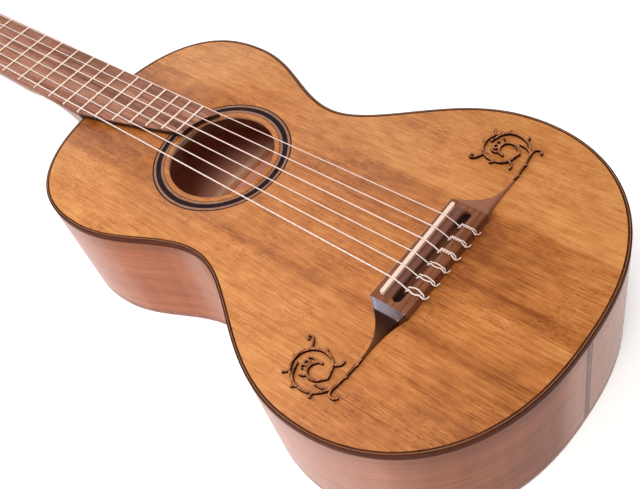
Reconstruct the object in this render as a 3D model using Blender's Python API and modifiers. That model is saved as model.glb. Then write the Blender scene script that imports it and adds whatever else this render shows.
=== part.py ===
"""Romantic guitar: a narrow-waisted body, a tie-block bridge whose wings run out into carved
vine scrolls, and a fingerboard that floats over the body with its bass side cut away.

Metres, +Z up. The back lies on z = 0, the neck points along +Y, and x = 0 is the centre line.
y = 0 is the saddle line, from which the scale length is measured.
"""

from math import acos, atan2, cos, pi, radians, sin, sqrt

import bmesh
import bpy
import numpy
from mathutils import Matrix, Vector

# Clearance between two pieces that touch on the real instrument
GAP = 0.0003

# Scale, frets and strings
SCALE_LENGTH = 0.650
FRET_COUNT = 18
BODY_FRET = 12
STRING_SPAN_SADDLE = 0.0580
STRING_SPAN_NUT = 0.0416
STRING_RADII = (0.00036, 0.00041, 0.00050, 0.00040, 0.00045, 0.00053)
STRING_BEVEL_STEPS = 1

# Body, measured to the outside of the bindings
BODY_DEPTH = 0.101
TAIL_Y = -0.1207
UPPER_BOUT = 0.2164
UPPER_BOUT_Y = 0.241
WAIST = 0.1572
WAIST_Y = 0.1384
LOWER_BOUT = 0.2798
LOWER_BOUT_Y = -0.006
UPPER_ROUNDNESS = 2.44
TAIL_ROUNDNESS = (2.35, 2.10)
UPPER_FLANK_LEAN = -0.13
LOWER_FLANK_LEAN = 0.28
OUTLINE_STEPS = (10, 8, 11, 13)

# Plates, ribs and edges
TOP_THICK = 0.0025
BACK_THICK = 0.0028
RIB_THICK = 0.0026
BINDING_WIDTH = 0.0015
BINDING_HEIGHT = 0.0050
PURFLING_WIDTH = 0.0007
LINING_WIDTH = 0.0055
LINING_HEIGHT = 0.0130
TAIL_STRIP_TOP = 0.0054
TAIL_STRIP_BOTTOM = 0.0046

# Sound hole and rosette
HOLE_Y = 0.1846
HOLE_RADIUS = 0.0415
ROSETTE_INNER = 0.0464
ROSETTE_OUTER = 0.0545
ROSETTE_THICK = 0.0010
HOLE_SIDES = 48

# Blocks and braces inside the body
NECK_BLOCK_WIDTH = 0.060
NECK_BLOCK_LENGTH = 0.022
TAIL_BLOCK_WIDTH = 0.056
TAIL_BLOCK_LENGTH = 0.016
BRACE_WIDTH = 0.0065
BRACE_HEIGHT = 0.0080
BRACE_END_HEIGHT = 0.0030
BRACE_SCALLOP = 0.028
BRACE_BEHIND_NECK = 0.0430
BRACE_BEYOND_HOLE = 0.0069
BRACE_BEFORE_HOLE = 0.0141
BRACE_BELOW_WAIST = 0.0864
BACK_BRACE_AT_BOUT = -0.0010
BACK_BRACE_BELOW_WAIST = 0.0234
BACK_BRACE_BELOW_BOUT = 0.0240

# Heel button on the back and the neck
BUTTON_WIDTH = 0.024
BUTTON_LENGTH = 0.024
NECK_TILT = radians(0.57)
BOARD_LIFT = 0.0029
NECK_DEPTH_BODY = 0.0215
NECK_DEPTH_NUT = 0.0190
NECK_DEPTH_END = 0.0155
HEEL_FLAT = 0.0200
HEEL_REACH = 0.0560
HEEL_BOTTOM_WIDTH = 0.0220
NECK_RUN_IN = 0.0040
NECK_END_TAPER = 0.0120
NECK_KEEL_WIDTH = 0.0016
NECK_SIDE_STEPS = 7

# Fingerboard, frets and nut
BOARD_WIDTH_NUT = 0.0490
BOARD_WIDTH_BODY = 0.0560
BOARD_THICK = 0.0038
BOARD_OVER_HOLE = 0.0010
BOARD_TIP_X = -0.0012
BOARD_CUT_BOW = 0.0014
FRET_WIDTH = 0.0024
FRET_HEIGHT = 0.00105
FRET_TANG = 0.0006
FRET_TANG_DEPTH = 0.0016
NUT_THICK = 0.0050
NUT_ABOVE_FRETS = 0.0012
NUT_EASE = 0.0006
STRING_ABOVE_FRETS_AT_NUT = 0.0009

# Head, tilted back behind the nut, and its six rear pegs
HEAD_ANGLE = radians(12.0)
HEAD_LENGTH = 0.160
HEAD_THICK = 0.0140
HEAD_LOWER_LOBE = 0.0670
HEAD_WAIST = 0.0515
HEAD_UPPER_LOBE = 0.0750
HEAD_STEP = 0.0075
PEG_ALONG = (0.038, 0.082, 0.126)
PEG_ASIDE = (0.0210, 0.0180, 0.0190)
PEG_TIP_RADIUS = 0.0030
PEG_COLLAR_RADIUS = 0.0036
PEG_TIP_ABOVE = 0.0120
PEG_NECK_RADIUS = 0.0028
PEG_FLANGE_RADIUS = 0.0056
PEG_FLANGE_THICK = 0.0022
PEG_STEM_LENGTH = 0.0050
PEG_THUMB_SIZE = (0.0190, 0.0066, 0.0200)
PEG_SIDES = 12
WINDING_TURNS = 2
WINDING_POINTS = 8
WINDING_CLEARANCE = 0.0006
WINDING_ABOVE_FACE = 0.0014
SELF_GAP = 0.0006

# Bridge: a block with a saddle slot, a long string slot and a tie bar, and two wings
BRIDGE_HALF_LENGTH = 0.0450
BRIDGE_FRONT_Y = 0.0060
BRIDGE_REAR_Y = -0.0223
BRIDGE_HEIGHT = 0.0065
BRIDGE_DRAFT = 0.0009
BRIDGE_EDGE = 0.0005
WING_SHOULDER = 0.0055
WING_SHOULDER_HEIGHT = 0.0037
WING_TIP_HEIGHT = 0.0016
WING_TIP_WIDTH = 0.0017
WING_STEPS = 7
WING_CROWN = 0.85
WING_ROUND_BY = 0.35
SADDLE_LENGTH = 0.0825
SADDLE_THICK = 0.0030
SADDLE_TOP = 0.0092
SADDLE_SEAT = 0.0030
SADDLE_SLANT = radians(1.15)
SLOT_LENGTH = 0.0826
SLOT_FRONT_Y = -0.0074
SLOT_REAR_Y = -0.0142
SLOT_FLOOR = 0.0018
TIE_HOLE_RADIUS = 0.00095
TIE_HOLE_HEIGHT = 0.0032
TIE_LOOP_HALF_WIDTHS = {4: 0.0017, 5: 0.0019, 6: 0.0027}
TIE_LOOP_STEPS = 4
TIE_LOOP_ARC = 0.17
TWIST_TURNS = 2
TWIST_POINTS = 7
TWIST_CLEARANCE = 0.0003
KNOT_STEP = 0.0014

# Each wing: where its tip lies, and how fast its neck side and its tail side draw in
WINGS = {
    "bass": {"side": -1, "tip": (0.0830, -0.0158), "neck_power": 2.4, "tail_power": 2.6},
    "treble": {"side": 1, "tip": (0.0820, -0.0190), "neck_power": 2.9, "tail_power": 5.0},
}

# Vine scroll, carved in relief: distances outward and neckward from the wing's tip, widths
VINE_HEIGHT = 0.0020
VINE_SHOULDER = 0.62
VINE_STEP = 0.0032
VINES = (
    ((0.0, -0.0001), (0.0050, 0.0001), (0.0140, 0.0006), (0.0220, 0.0017), (0.0276, 0.0021),
     (0.0300, 0.0008), (0.0306, -0.0014), (0.0299, -0.0034), (0.0286, -0.0040)),
    ((0.0235, 0.0020), (0.0290, 0.0052), (0.0334, 0.0100), (0.0357, 0.0155), (0.0361, 0.0208),
     (0.0347, 0.0258), (0.0316, 0.0291), (0.0275, 0.0308), (0.0236, 0.0321)),
    ((0.0346, 0.0262), (0.0304, 0.0322), (0.0258, 0.0350), (0.0208, 0.0358), (0.0160, 0.0347),
     (0.0117, 0.0315), (0.0088, 0.0266), (0.0080, 0.0213), (0.0094, 0.0158), (0.0126, 0.0120),
     (0.0167, 0.0106), (0.0210, 0.0096), (0.0246, 0.0120), (0.0271, 0.0156), (0.0274, 0.0192),
     (0.0260, 0.0222), (0.0232, 0.0238), (0.0203, 0.0239), (0.0176, 0.0227), (0.0157, 0.0207),
     (0.0153, 0.0187)),
    ((0.0108, 0.0308), (0.0074, 0.0325), (0.0046, 0.0344), (0.0035, 0.0364), (0.0044, 0.0381),
     (0.0061, 0.0374)),
    ((0.0126, 0.0120), (0.0110, 0.0092), (0.0092, 0.0077), (0.0073, 0.0078)),
    ((0.0262, 0.0035), (0.0285, 0.0085), (0.0292, 0.0136)),
    ((0.0290, 0.0328), (0.0315, 0.0342), (0.0329, 0.0358)),
    ((0.0346, 0.0108), (0.0371, 0.0108)),
    ((0.0360, 0.0222), (0.0375, 0.0248)),
    ((0.0266, 0.0218), (0.0284, 0.0238), (0.0291, 0.0262)),
    ((0.0168, 0.0286), (0.0153, 0.0258), (0.0162, 0.0216)),
    ((0.0221, 0.0281), (0.0243, 0.0283), (0.0250, 0.0266)),
    ((0.0082, 0.0200), (0.0064, 0.0215), (0.0052, 0.0232)),
)
VINE_WIDTHS = ((0.0016, 0.0012), (0.0018, 0.0011), (0.0018, 0.0014), (0.0015, 0.0012),
               (0.0015, 0.0011), (0.0015, 0.0009), (0.0014, 0.0012), (0.0013, 0.0012),
               (0.0013, 0.0012), (0.0013, 0.0010), (0.0013, 0.0011), (0.0012, 0.0011),
               (0.0013, 0.0010))
BUD_RADIUS = 0.0011
BUD_HEIGHT = 0.0022
BUDS = ((0.0042, -0.0003), (0.0146, 0.0002), (0.0286, -0.0039), (0.0371, 0.0108),
        (0.0375, 0.0249), (0.0329, 0.0358), (0.0208, 0.0368), (0.0062, 0.0373),
        (0.0074, 0.0078), (0.0214, 0.0093), (0.0153, 0.0188), (0.0236, 0.0321))
EYE_PLACE = (0.0200, 0.0267)
EYE_RADII = (0.0025, 0.0013)

# Colours, roughness and metallic value of each finish
FINISHES = {
    "spruce": ((0.58, 0.27, 0.10), 0.38, 0.0),
    "spruce_inside": ((0.62, 0.40, 0.22), 0.65, 0.0),
    "maple": ((0.42, 0.16, 0.10), 0.25, 0.0),
    "dark_wood": ((0.055, 0.022, 0.016), 0.35, 0.0),
    "rosewood": ((0.16, 0.065, 0.035), 0.42, 0.0),
    "ebony": ((0.015, 0.012, 0.011), 0.32, 0.0),
    "strip_wood": ((0.20, 0.14, 0.11), 0.35, 0.0),
    "light_line": ((0.55, 0.38, 0.22), 0.45, 0.0),
    "mahogany": ((0.22, 0.085, 0.045), 0.38, 0.0),
    "bone": ((0.80, 0.70, 0.54), 0.40, 0.0),
    "fret_metal": ((0.72, 0.70, 0.66), 0.25, 1.0),
    "string_plain": ((0.86, 0.80, 0.74), 0.35, 0.0),
    "string_wound": ((0.78, 0.72, 0.66), 0.35, 0.6),
}

NECK_JOINT_Y = SCALE_LENGTH * 2 ** (-BODY_FRET / 12)
NUT_ALONG = SCALE_LENGTH - NECK_JOINT_Y
HEAD_START = NUT_ALONG + GAP + NUT_THICK + GAP
RIB_BOTTOM = BACK_THICK + GAP
RIB_TOP = BODY_DEPTH - TOP_THICK - GAP
LINING_OFFSET = RIB_THICK + GAP
INNER_OFFSET = LINING_OFFSET + LINING_WIDTH + GAP
TOP_EDGE_OFFSET = BINDING_WIDTH + GAP + PURFLING_WIDTH + GAP
NECK_HEEL = Matrix.Translation((0, NECK_JOINT_Y, BODY_DEPTH + BOARD_LIFT))
NECK_FRAME = NECK_HEEL @ Matrix.Rotation(NECK_TILT, 4, "X")
NECK_END = NECK_FRAME @ Matrix.Translation((0, HEAD_START, 0))
HEAD_FRAME = NECK_END @ Matrix.Rotation(-HEAD_ANGLE, 4, "X")
STRING_UP_AT_NUT = BOARD_THICK + FRET_HEIGHT + STRING_ABOVE_FRETS_AT_NUT
STRING_COUNT = len(STRING_RADII)


def clear_scene():
    """Empty the file of what it opened with."""
    for thing in list(bpy.data.objects):
        bpy.data.objects.remove(thing)


def new_collection(name, hidden=False):
    """Make a collection under the scene."""
    group = bpy.data.collections.new(name)
    bpy.context.scene.collection.children.link(group)
    group.hide_render = hidden
    return group


def finish_material(name):
    """Return the Principled material of a finish, made on first use."""
    found = bpy.data.materials.get(name)
    if found:
        return found
    colour, roughness, metallic = FINISHES[name]
    made = bpy.data.materials.new(name)
    made.use_nodes = True
    shader = made.node_tree.nodes["Principled BSDF"]
    shader.inputs["Base Color"].default_value = (*colour, 1.0)
    shader.inputs["Roughness"].default_value = roughness
    shader.inputs["Metallic"].default_value = metallic
    made.diffuse_color = (*colour, 1.0)
    return made


def place(thing, finish=None, matrix=None):
    """Put an object in its collection with its finish and its placing."""
    if finish is None:
        CUTTERS.objects.link(thing)
        thing.hide_render = True
        thing.display_type = "WIRE"
    else:
        PARTS.objects.link(thing)
        thing.data.materials.clear()
        thing.data.materials.append(finish_material(finish))
    if matrix is not None:
        thing.matrix_world = matrix
    return thing


def mesh_piece(name, work, finish=None, matrix=None, smooth_angle=35):
    """Turn a bmesh into a placed object whose faces point outward."""
    bmesh.ops.recalc_face_normals(work, faces=work.faces)
    data = bpy.data.meshes.new(name)
    work.to_mesh(data)
    work.free()
    data.shade_smooth()
    data.set_sharp_from_angle(angle=radians(smooth_angle))
    return place(bpy.data.objects.new(name, data), finish, matrix)


def flat_piece(name, loops, low, high, finish=None, matrix=None):
    """Extrude an outline in XY from low to high, with any further loops as holes in it."""
    data = bpy.data.curves.new(name, "CURVE")
    data.dimensions = "2D"
    data.fill_mode = "BOTH"
    data.extrude = (high - low) / 2
    for loop in loops:
        spline = data.splines.new("POLY")
        spline.points.add(len(loop) - 1)
        for point, (x, y) in zip(spline.points, loop):
            point.co = (x, y, 0, 1)
        spline.use_cyclic_u = True
    outline = bpy.data.objects.new(name + "_outline", data)
    bpy.context.scene.collection.objects.link(outline)
    graph = bpy.context.evaluated_depsgraph_get()
    solid = bpy.data.meshes.new_from_object(outline.evaluated_get(graph))
    bpy.data.objects.remove(outline)
    work = bmesh.new()
    work.from_mesh(solid)
    bpy.data.meshes.remove(solid)
    bmesh.ops.remove_doubles(work, verts=work.verts, dist=1e-6)
    bmesh.ops.translate(work, verts=work.verts, vec=(0, 0, (low + high) / 2))
    return mesh_piece(name, work, finish, matrix)


def loft(name, rings, finish=None, matrix=None):
    """Skin a row of closed rings of equal count, with a cap at each end."""
    work = bmesh.new()
    rows = [[work.verts.new(point) for point in ring] for ring in rings]
    count = len(rows[0])
    for first, second in zip(rows, rows[1:]):
        for index in range(count):
            after = (index + 1) % count
            work.faces.new((first[index], first[after], second[after], second[index]))
    work.faces.new(rows[0])
    work.faces.new(rows[-1])
    return mesh_piece(name, work, finish, matrix)


def box(name, low, high, finish=None, matrix=None):
    """A box between two opposite corners."""
    work = bmesh.new()
    bmesh.ops.create_cube(work, size=1.0)
    centre = [(a + b) / 2 for a, b in zip(low, high)]
    size = [b - a for a, b in zip(low, high)]
    bmesh.ops.scale(work, verts=work.verts, vec=size)
    bmesh.ops.translate(work, verts=work.verts, vec=centre)
    return mesh_piece(name, work, finish, matrix)


def shape_with(target, tool, operation="DIFFERENCE"):
    """Leave a Boolean of the tool on the target."""
    step = target.modifiers.new(operation.lower() + "_" + tool.name, "BOOLEAN")
    step.operation = operation
    step.solver = "EXACT"
    step.object = tool
    return target


def settled(thing):
    """Replace an object's mesh by what its modifiers make of it."""
    bpy.context.view_layer.update()
    graph = bpy.context.evaluated_depsgraph_get()
    result = bpy.data.meshes.new_from_object(thing.evaluated_get(graph))
    thing.modifiers.clear()
    thing.data = result
    return thing


def circle(radius, sides, centre=(0.0, 0.0)):
    """Points round a circle."""
    return [(centre[0] + radius * cos(2 * pi * k / sides), centre[1] + radius * sin(2 * pi * k / sides))
            for k in range(sides)]


def stadium(length, width, centre=(0.0, 0.0), arc=8):
    """A slot's outline: two straight sides with half-round ends."""
    reach = (length - width) / 2
    loop = []
    for side in (1, -1):
        for k in range(arc + 1):
            angle = -side * pi / 2 + pi * k / arc
            x = centre[0] + side * reach + width / 2 * cos(angle)
            loop.append((x, centre[1] + width / 2 * sin(angle)))
    return loop


def smooth_through(points, step):
    """Points of a smooth curve through the given ones, about one step apart."""
    points = [Vector(point) for point in points]
    ends = [points[0] * 2 - points[1]] + points + [points[-1] * 2 - points[-2]]
    result = [points[0]]
    for before, start, end, after in zip(ends, ends[1:], ends[2:], ends[3:]):
        count = max(1, round((end - start).length / step))
        pairs = ((before, start), (start, end), (end, after))
        spans = [max(sqrt((b - a).length), 1e-6) for a, b in pairs]
        leave = (start - before) / spans[0] - (end - before) / (spans[0] + spans[1])
        leave += (end - start) / spans[1]
        reach = (end - start) / spans[1] - (after - start) / (spans[1] + spans[2])
        reach += (after - end) / spans[2]
        for k in range(1, count + 1):
            t = k / count
            result.append((2 * t**3 - 3 * t**2 + 1) * start + (t**3 - 2 * t**2 + t) * spans[1] * leave
                          + (3 * t**2 - 2 * t**3) * end + (t**3 - t**2) * spans[1] * reach)
    return result


def quarter(half_width, height, powers, steps):
    """A quarter of a superellipse, from its top on the centre line to its widest point."""
    return [(half_width * sin(pi / 2 * k / steps) ** (2 / powers[0]),
             height * cos(pi / 2 * k / steps) ** (2 / powers[1]) if k < steps else 0.0)
            for k in range(steps + 1)]


def flank(start, end, lean, steps):
    """A cosine curve between two widths, leaving and arriving parallel to the centre line."""
    (x1, y1), (x2, y2) = start, end
    points = []
    for k in range(1, steps + 1):
        t = k / steps
        turn = t + lean * t * (1 - t)
        points.append(((x1 + x2) / 2 + (x1 - x2) / 2 * cos(pi * turn), y1 + (y2 - y1) * t))
    return points


def half_outline():
    """The treble half of the body, from the neck joint to the tail."""
    upper = (UPPER_BOUT / 2, UPPER_BOUT_Y)
    waist = (WAIST / 2, WAIST_Y)
    lower = (LOWER_BOUT / 2, LOWER_BOUT_Y)
    rounding = (UPPER_ROUNDNESS, UPPER_ROUNDNESS)
    shoulder = quarter(upper[0], NECK_JOINT_Y - UPPER_BOUT_Y, rounding, OUTLINE_STEPS[0])
    bottom = quarter(lower[0], LOWER_BOUT_Y - TAIL_Y, TAIL_ROUNDNESS, OUTLINE_STEPS[3])
    points = [(x, UPPER_BOUT_Y + y) for x, y in shoulder]
    points += flank(upper, waist, UPPER_FLANK_LEAN, OUTLINE_STEPS[1])
    points += flank(waist, lower, LOWER_FLANK_LEAN, OUTLINE_STEPS[2])
    points += [(x, LOWER_BOUT_Y - y) for x, y in reversed(bottom[:-1])]
    return points


def inset_half(distance):
    """The treble half outline moved inward by a distance."""
    points = half_outline()
    mirrored = [(-points[1][0], points[1][1])] + points + [(-points[-2][0], points[-2][1])]
    moved = []
    for before, here, after in zip(mirrored, mirrored[1:], mirrored[2:]):
        first = (Vector(here) - Vector(before)).normalized()
        second = (Vector(after) - Vector(here)).normalized()
        along = (first + second).normalized()
        inward = Vector((along.y, -along.x))
        moved.append(tuple(Vector(here) + inward * distance / max(first.dot(along), 0.5)))
    return moved


def body_loop(distance):
    """The whole body outline moved inward by a distance."""
    half = inset_half(distance)
    return half + [(-x, y) for x, y in reversed(half[1:-1])]


def trimmed(points, neck_x, tail_x):
    """Cut a treble half outline off where it comes nearer the centre line than the two values."""
    def entry(row, limit):
        for index, (first, second) in enumerate(zip(row, row[1:])):
            if second[0] > limit:
                share = (limit - first[0]) / (second[0] - first[0])
                return [(limit, first[1] + share * (second[1] - first[1]))] + row[index + 1:]
        return row
    kept = entry(points, neck_x)
    return list(reversed(entry(list(reversed(kept)), tail_x)))


def half_ring(outer, inner, side, neck_x, tail_x):
    """A strip of the given side of the body, between two insets and two ends."""
    path_out = trimmed(inset_half(outer), neck_x, tail_x)
    path_in = trimmed(inset_half(inner), neck_x, tail_x)
    return [(side * x, y) for x, y in path_out + list(reversed(path_in))]


def half_width_at(y, distance):
    """The half-width of the body at y, inside a given inset."""
    path = inset_half(distance)
    for (x1, y1), (x2, y2) in zip(path, path[1:]):
        if y2 <= y <= y1:
            return x1 + (x2 - x1) * (y1 - y) / (y1 - y2)
    return 0.0


def add_soundboard():
    """The top, its sound hole, and the inlaid ring round it."""
    outline = [body_loop(TOP_EDGE_OFFSET), circle(HOLE_RADIUS, HOLE_SIDES, (0, HOLE_Y))]
    top = flat_piece("soundboard", outline, BODY_DEPTH - TOP_THICK, BODY_DEPTH, "spruce")
    groove = flat_piece("rosette_groove",
                        [circle(ROSETTE_OUTER + GAP, HOLE_SIDES, (0, HOLE_Y)),
                         circle(ROSETTE_INNER - GAP, HOLE_SIDES, (0, HOLE_Y))],
                        BODY_DEPTH - ROSETTE_THICK - GAP, BODY_DEPTH + TOP_THICK)
    shape_with(top, groove)
    flat_piece("rosette", [circle(ROSETTE_OUTER, HOLE_SIDES, (0, HOLE_Y)),
                           circle(ROSETTE_INNER, HOLE_SIDES, (0, HOLE_Y))],
               BODY_DEPTH - ROSETTE_THICK, BODY_DEPTH, "ebony")


def add_back():
    """The flat back with the small button that covers the heel."""
    half_button = BUTTON_WIDTH / 2
    edge = trimmed(inset_half(BINDING_WIDTH + GAP), half_button, 0.0)
    middle = NECK_JOINT_Y + BUTTON_LENGTH - half_button
    turns = [pi / 2 * k / 5 for k in range(6)]
    half = [(half_button * sin(turn), middle + half_button * cos(turn)) for turn in turns] + edge
    flat_piece("back", [half + [(-x, y) for x, y in reversed(half[1:-1])]], 0.0, BACK_THICK, "maple")


def strip_half_width(z):
    """Half the width of the tapered tail strip at a height."""
    share = (z - RIB_BOTTOM) / (RIB_TOP - RIB_BOTTOM)
    return (TAIL_STRIP_BOTTOM + (TAIL_STRIP_TOP - TAIL_STRIP_BOTTOM) * share) / 2


def rib_section():
    """A rib's section as insets and heights, stepped back above and below for the bindings."""
    channel = BINDING_WIDTH + GAP
    low, high = BINDING_HEIGHT + GAP, BODY_DEPTH - BINDING_HEIGHT - GAP
    return ((channel, RIB_BOTTOM), (channel, low), (0.0, low), (0.0, high), (channel, high),
            (channel, RIB_TOP), (RIB_THICK, RIB_TOP), (RIB_THICK, RIB_BOTTOM))


def tail_point(inset, x, z):
    """A point of the body's edge close to the tail."""
    (x1, y1), (x2, y2) = inset_half(inset)[-2:]
    return x, y2 + (y1 - y2) * abs(x) / x1, z


def add_ribs():
    """Both sides and the strip that joins them at the tail."""
    for name, side in (("rib_bass", -1), ("rib_treble", 1)):
        columns = []
        for inset, z in rib_section():
            path = inset_half(inset)
            column = [(side * GAP / 2, path[0][1], z)] + [(side * x, y, z) for x, y in path[1:-1]]
            columns.append(column + [tail_point(inset, side * (strip_half_width(z) + GAP), z)])
        loft(name, zip(*columns), "maple")
    rings = [[tail_point(inset, side * strip_half_width(z), z) for inset, z in rib_section()]
             for side in (-1, 0, 1)]
    loft("tail_strip", rings, "strip_wood")


def add_edges():
    """Bindings round both edges, and the light line inside the top one."""
    flat_piece("binding_top", [body_loop(0.0), body_loop(BINDING_WIDTH)],
               BODY_DEPTH - BINDING_HEIGHT, BODY_DEPTH, "dark_wood")
    line = BINDING_WIDTH + GAP
    flat_piece("purfling_top", [body_loop(line), body_loop(line + PURFLING_WIDTH)],
               BODY_DEPTH - TOP_THICK, BODY_DEPTH, "light_line")
    start = BUTTON_WIDTH / 2 + GAP
    outer = trimmed(inset_half(0.0), start, 0.0)
    inner = trimmed(inset_half(BINDING_WIDTH), start, 0.0)
    outer_loop = outer + [(-x, y) for x, y in reversed(outer[:-1])]
    inner_loop = inner + [(-x, y) for x, y in reversed(inner[:-1])]
    flat_piece("binding_back", [outer_loop + list(reversed(inner_loop))], 0.0, BINDING_HEIGHT, "dark_wood")


def block_loop(width, length, at_neck):
    """A block's outline: one side follows the inside of the ribs, the other is straight."""
    path = inset_half(LINING_OFFSET)
    if not at_neck:
        path.reverse()
    past = next(index for index, point in enumerate(path) if point[0] >= width / 2)
    (x1, y1), (x2, y2) = path[past - 1], path[past]
    corner = (width / 2, y1 + (width / 2 - x1) / (x2 - x1) * (y2 - y1))
    half = path[:past] + [corner, (width / 2, path[0][1] + (-length if at_neck else length))]
    return half + [(-x, y) for x, y in reversed(half[1:])]


def add_blocks_and_linings():
    """The end blocks and the strips that widen the glue face of the ribs."""
    flat_piece("neck_block", [block_loop(NECK_BLOCK_WIDTH, NECK_BLOCK_LENGTH, True)],
               RIB_BOTTOM, RIB_TOP, "spruce_inside")
    flat_piece("tail_block", [block_loop(TAIL_BLOCK_WIDTH, TAIL_BLOCK_LENGTH, False)],
               RIB_BOTTOM, RIB_TOP, "spruce_inside")
    levels = (("top", RIB_TOP - LINING_HEIGHT, RIB_TOP), ("back", RIB_BOTTOM, RIB_BOTTOM + LINING_HEIGHT))
    for level, low, high in levels:
        for name, side in (("bass", -1), ("treble", 1)):
            loop = half_ring(LINING_OFFSET, LINING_OFFSET + LINING_WIDTH, side,
                             NECK_BLOCK_WIDTH / 2 + GAP, TAIL_BLOCK_WIDTH / 2 + GAP)
            flat_piece(f"lining_{level}_{name}", [loop], low, high, "spruce_inside")


def add_brace(name, y, on_back):
    """A bar across the body, lower towards its ends, on the back or under the top."""
    reach = min(half_width_at(y + side * BRACE_WIDTH / 2, INNER_OFFSET) for side in (-1, 1))
    rise = 1 if on_back else -1
    half = [(reach, 0.0), (reach, rise * BRACE_END_HEIGHT), (reach - BRACE_SCALLOP, rise * BRACE_HEIGHT)]
    seat = Matrix.Translation((0, y, RIB_BOTTOM if on_back else RIB_TOP))
    place_at = seat @ Matrix.Rotation(pi / 2, 4, "X")
    flat_piece(name, [half + [(-x, z) for x, z in reversed(half)]], -BRACE_WIDTH / 2, BRACE_WIDTH / 2,
               "spruce_inside", place_at)


def add_braces():
    """Four bars under the top, set by the neck, the hole and the waist, and three on the back."""
    top = (NECK_JOINT_Y - BRACE_BEHIND_NECK, HOLE_Y + HOLE_RADIUS + BRACE_BEYOND_HOLE,
           HOLE_Y - HOLE_RADIUS - BRACE_BEFORE_HOLE, WAIST_Y - BRACE_BELOW_WAIST)
    back = (UPPER_BOUT_Y + BACK_BRACE_AT_BOUT, WAIST_Y - BACK_BRACE_BELOW_WAIST,
            LOWER_BOUT_Y - BACK_BRACE_BELOW_BOUT)
    for number, y in enumerate(top, 1):
        add_brace(f"top_brace_{number}", y, on_back=False)
    for number, y in enumerate(back, 1):
        add_brace(f"back_brace_{number}", y, on_back=True)


def board_half_width(along):
    """Half the width of the board's straight taper."""
    share = along / NUT_ALONG
    return (BOARD_WIDTH_BODY + (BOARD_WIDTH_NUT - BOARD_WIDTH_BODY) * share) / 2


def neck_ring(along):
    """One section of the neck: rounded along the shaft, tall and narrow at the heel."""
    full = BODY_DEPTH + BOARD_LIFT - BACK_THICK - GAP
    share = min(max((along - HEEL_FLAT) / HEEL_REACH, 0.0), 1.0)
    shaft = NECK_DEPTH_BODY + (NECK_DEPTH_NUT - NECK_DEPTH_BODY) * along / NUT_ALONG
    taper_start = NUT_ALONG - NECK_END_TAPER
    near_head = max(along - taper_start, 0.0) / (HEAD_START - taper_start)
    shaft += (NECK_DEPTH_END - NECK_DEPTH_NUT) * near_head
    depth = shaft + (full - shaft) * (1 - share) ** 2.6
    half = board_half_width(along)
    bottom = max(HEEL_BOTTOM_WIDTH / 2 * (1 - share) ** 1.3, NECK_KEEL_WIDTH / 2)
    side = []
    for k in range(NECK_SIDE_STEPS + 1):
        drop = sin(pi / 2 * k / NECK_SIDE_STEPS)
        as_shaft = sqrt(max(1 - drop**2.3, 0.0))
        as_heel = (1 - drop) ** 1.5
        blend = (1 - share) ** 1.2
        reach = bottom + (half - bottom) * (as_shaft + (as_heel - as_shaft) * blend)
        side.append((reach, -GAP - (depth - GAP) * drop))
    return [NECK_FRAME @ Vector((x, along, up)) for x, up in side + [(-x, up) for x, up in reversed(side)]]


def add_neck():
    """The neck with its heel, from the body's rounded end to the back of the nut."""
    stations = [-NECK_RUN_IN, HEEL_FLAT / 2, HEEL_FLAT]
    stations += [HEEL_FLAT + HEEL_REACH * (k / 8) ** 1.5 for k in range(1, 9)]
    stations += [NUT_ALONG / 2, NUT_ALONG - NECK_END_TAPER, HEAD_START - GAP]
    neck = loft("neck", [neck_ring(along) for along in stations], "mahogany")
    shape_with(neck, flat_piece("body_clearance", [body_loop(-GAP)], -BODY_DEPTH, 2 * BODY_DEPTH))


def head_outline():
    """The figure-eight head, from the nut round to the nut again."""
    lower, waist, upper = HEAD_LOWER_LOBE / 2, HEAD_WAIST / 2, HEAD_UPPER_LOBE / 2
    start = board_half_width(HEAD_START)
    guide = ((start, 0.0), (start, 0.06), (lower * 0.89, 0.15), (lower, 0.25), (lower * 0.97, 0.34),
             (waist * 1.09, 0.435), (waist, 0.505), (waist * 1.10, 0.575), (upper * 0.93, 0.66),
             (upper, 0.755), (upper * 0.88, 0.865), (upper * 0.60, 0.945), (upper * 0.27, 0.985), (0.0, 1.0))
    path = smooth_through([(x, share * HEAD_LENGTH, 0) for x, share in guide], HEAD_STEP)
    half = [(point.x, point.y) for point in path]
    return half + [(-x, y) for x, y in reversed(half[:-1])]


def peg_place(number):
    """Where a string's peg stands on the head: across and along it."""
    if number <= STRING_COUNT // 2:
        return PEG_ASIDE[number - 1], PEG_ALONG[number - 1]
    return -PEG_ASIDE[STRING_COUNT - number], PEG_ALONG[STRING_COUNT - number]


def add_head():
    """The head, cut square to the neck's end and bored for the six pegs."""
    head = flat_piece("head", [head_outline()], -HEAD_THICK, 0.0, "mahogany", HEAD_FRAME)
    size = HEAD_LENGTH
    shape_with(head, box("neck_side", (-size, -size, -size), (size, 0.0, size), matrix=NECK_END))
    bores = bmesh.new()
    grow = 1 / cos(pi / PEG_SIDES)
    for number in range(1, STRING_COUNT + 1):
        middle = Matrix.Translation((*peg_place(number), -HEAD_THICK / 2))
        slope = (PEG_COLLAR_RADIUS - PEG_TIP_RADIUS) / 2
        mean = (PEG_COLLAR_RADIUS + PEG_TIP_RADIUS) / 2 + GAP
        bmesh.ops.create_cone(bores, cap_ends=True, segments=PEG_SIDES, radius1=(mean + slope * 1.5) * grow,
                              radius2=(mean - slope * 1.5) * grow, depth=HEAD_THICK * 1.5, matrix=middle)
    shape_with(head, mesh_piece("peg_bores", bores, matrix=HEAD_FRAME))


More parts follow.
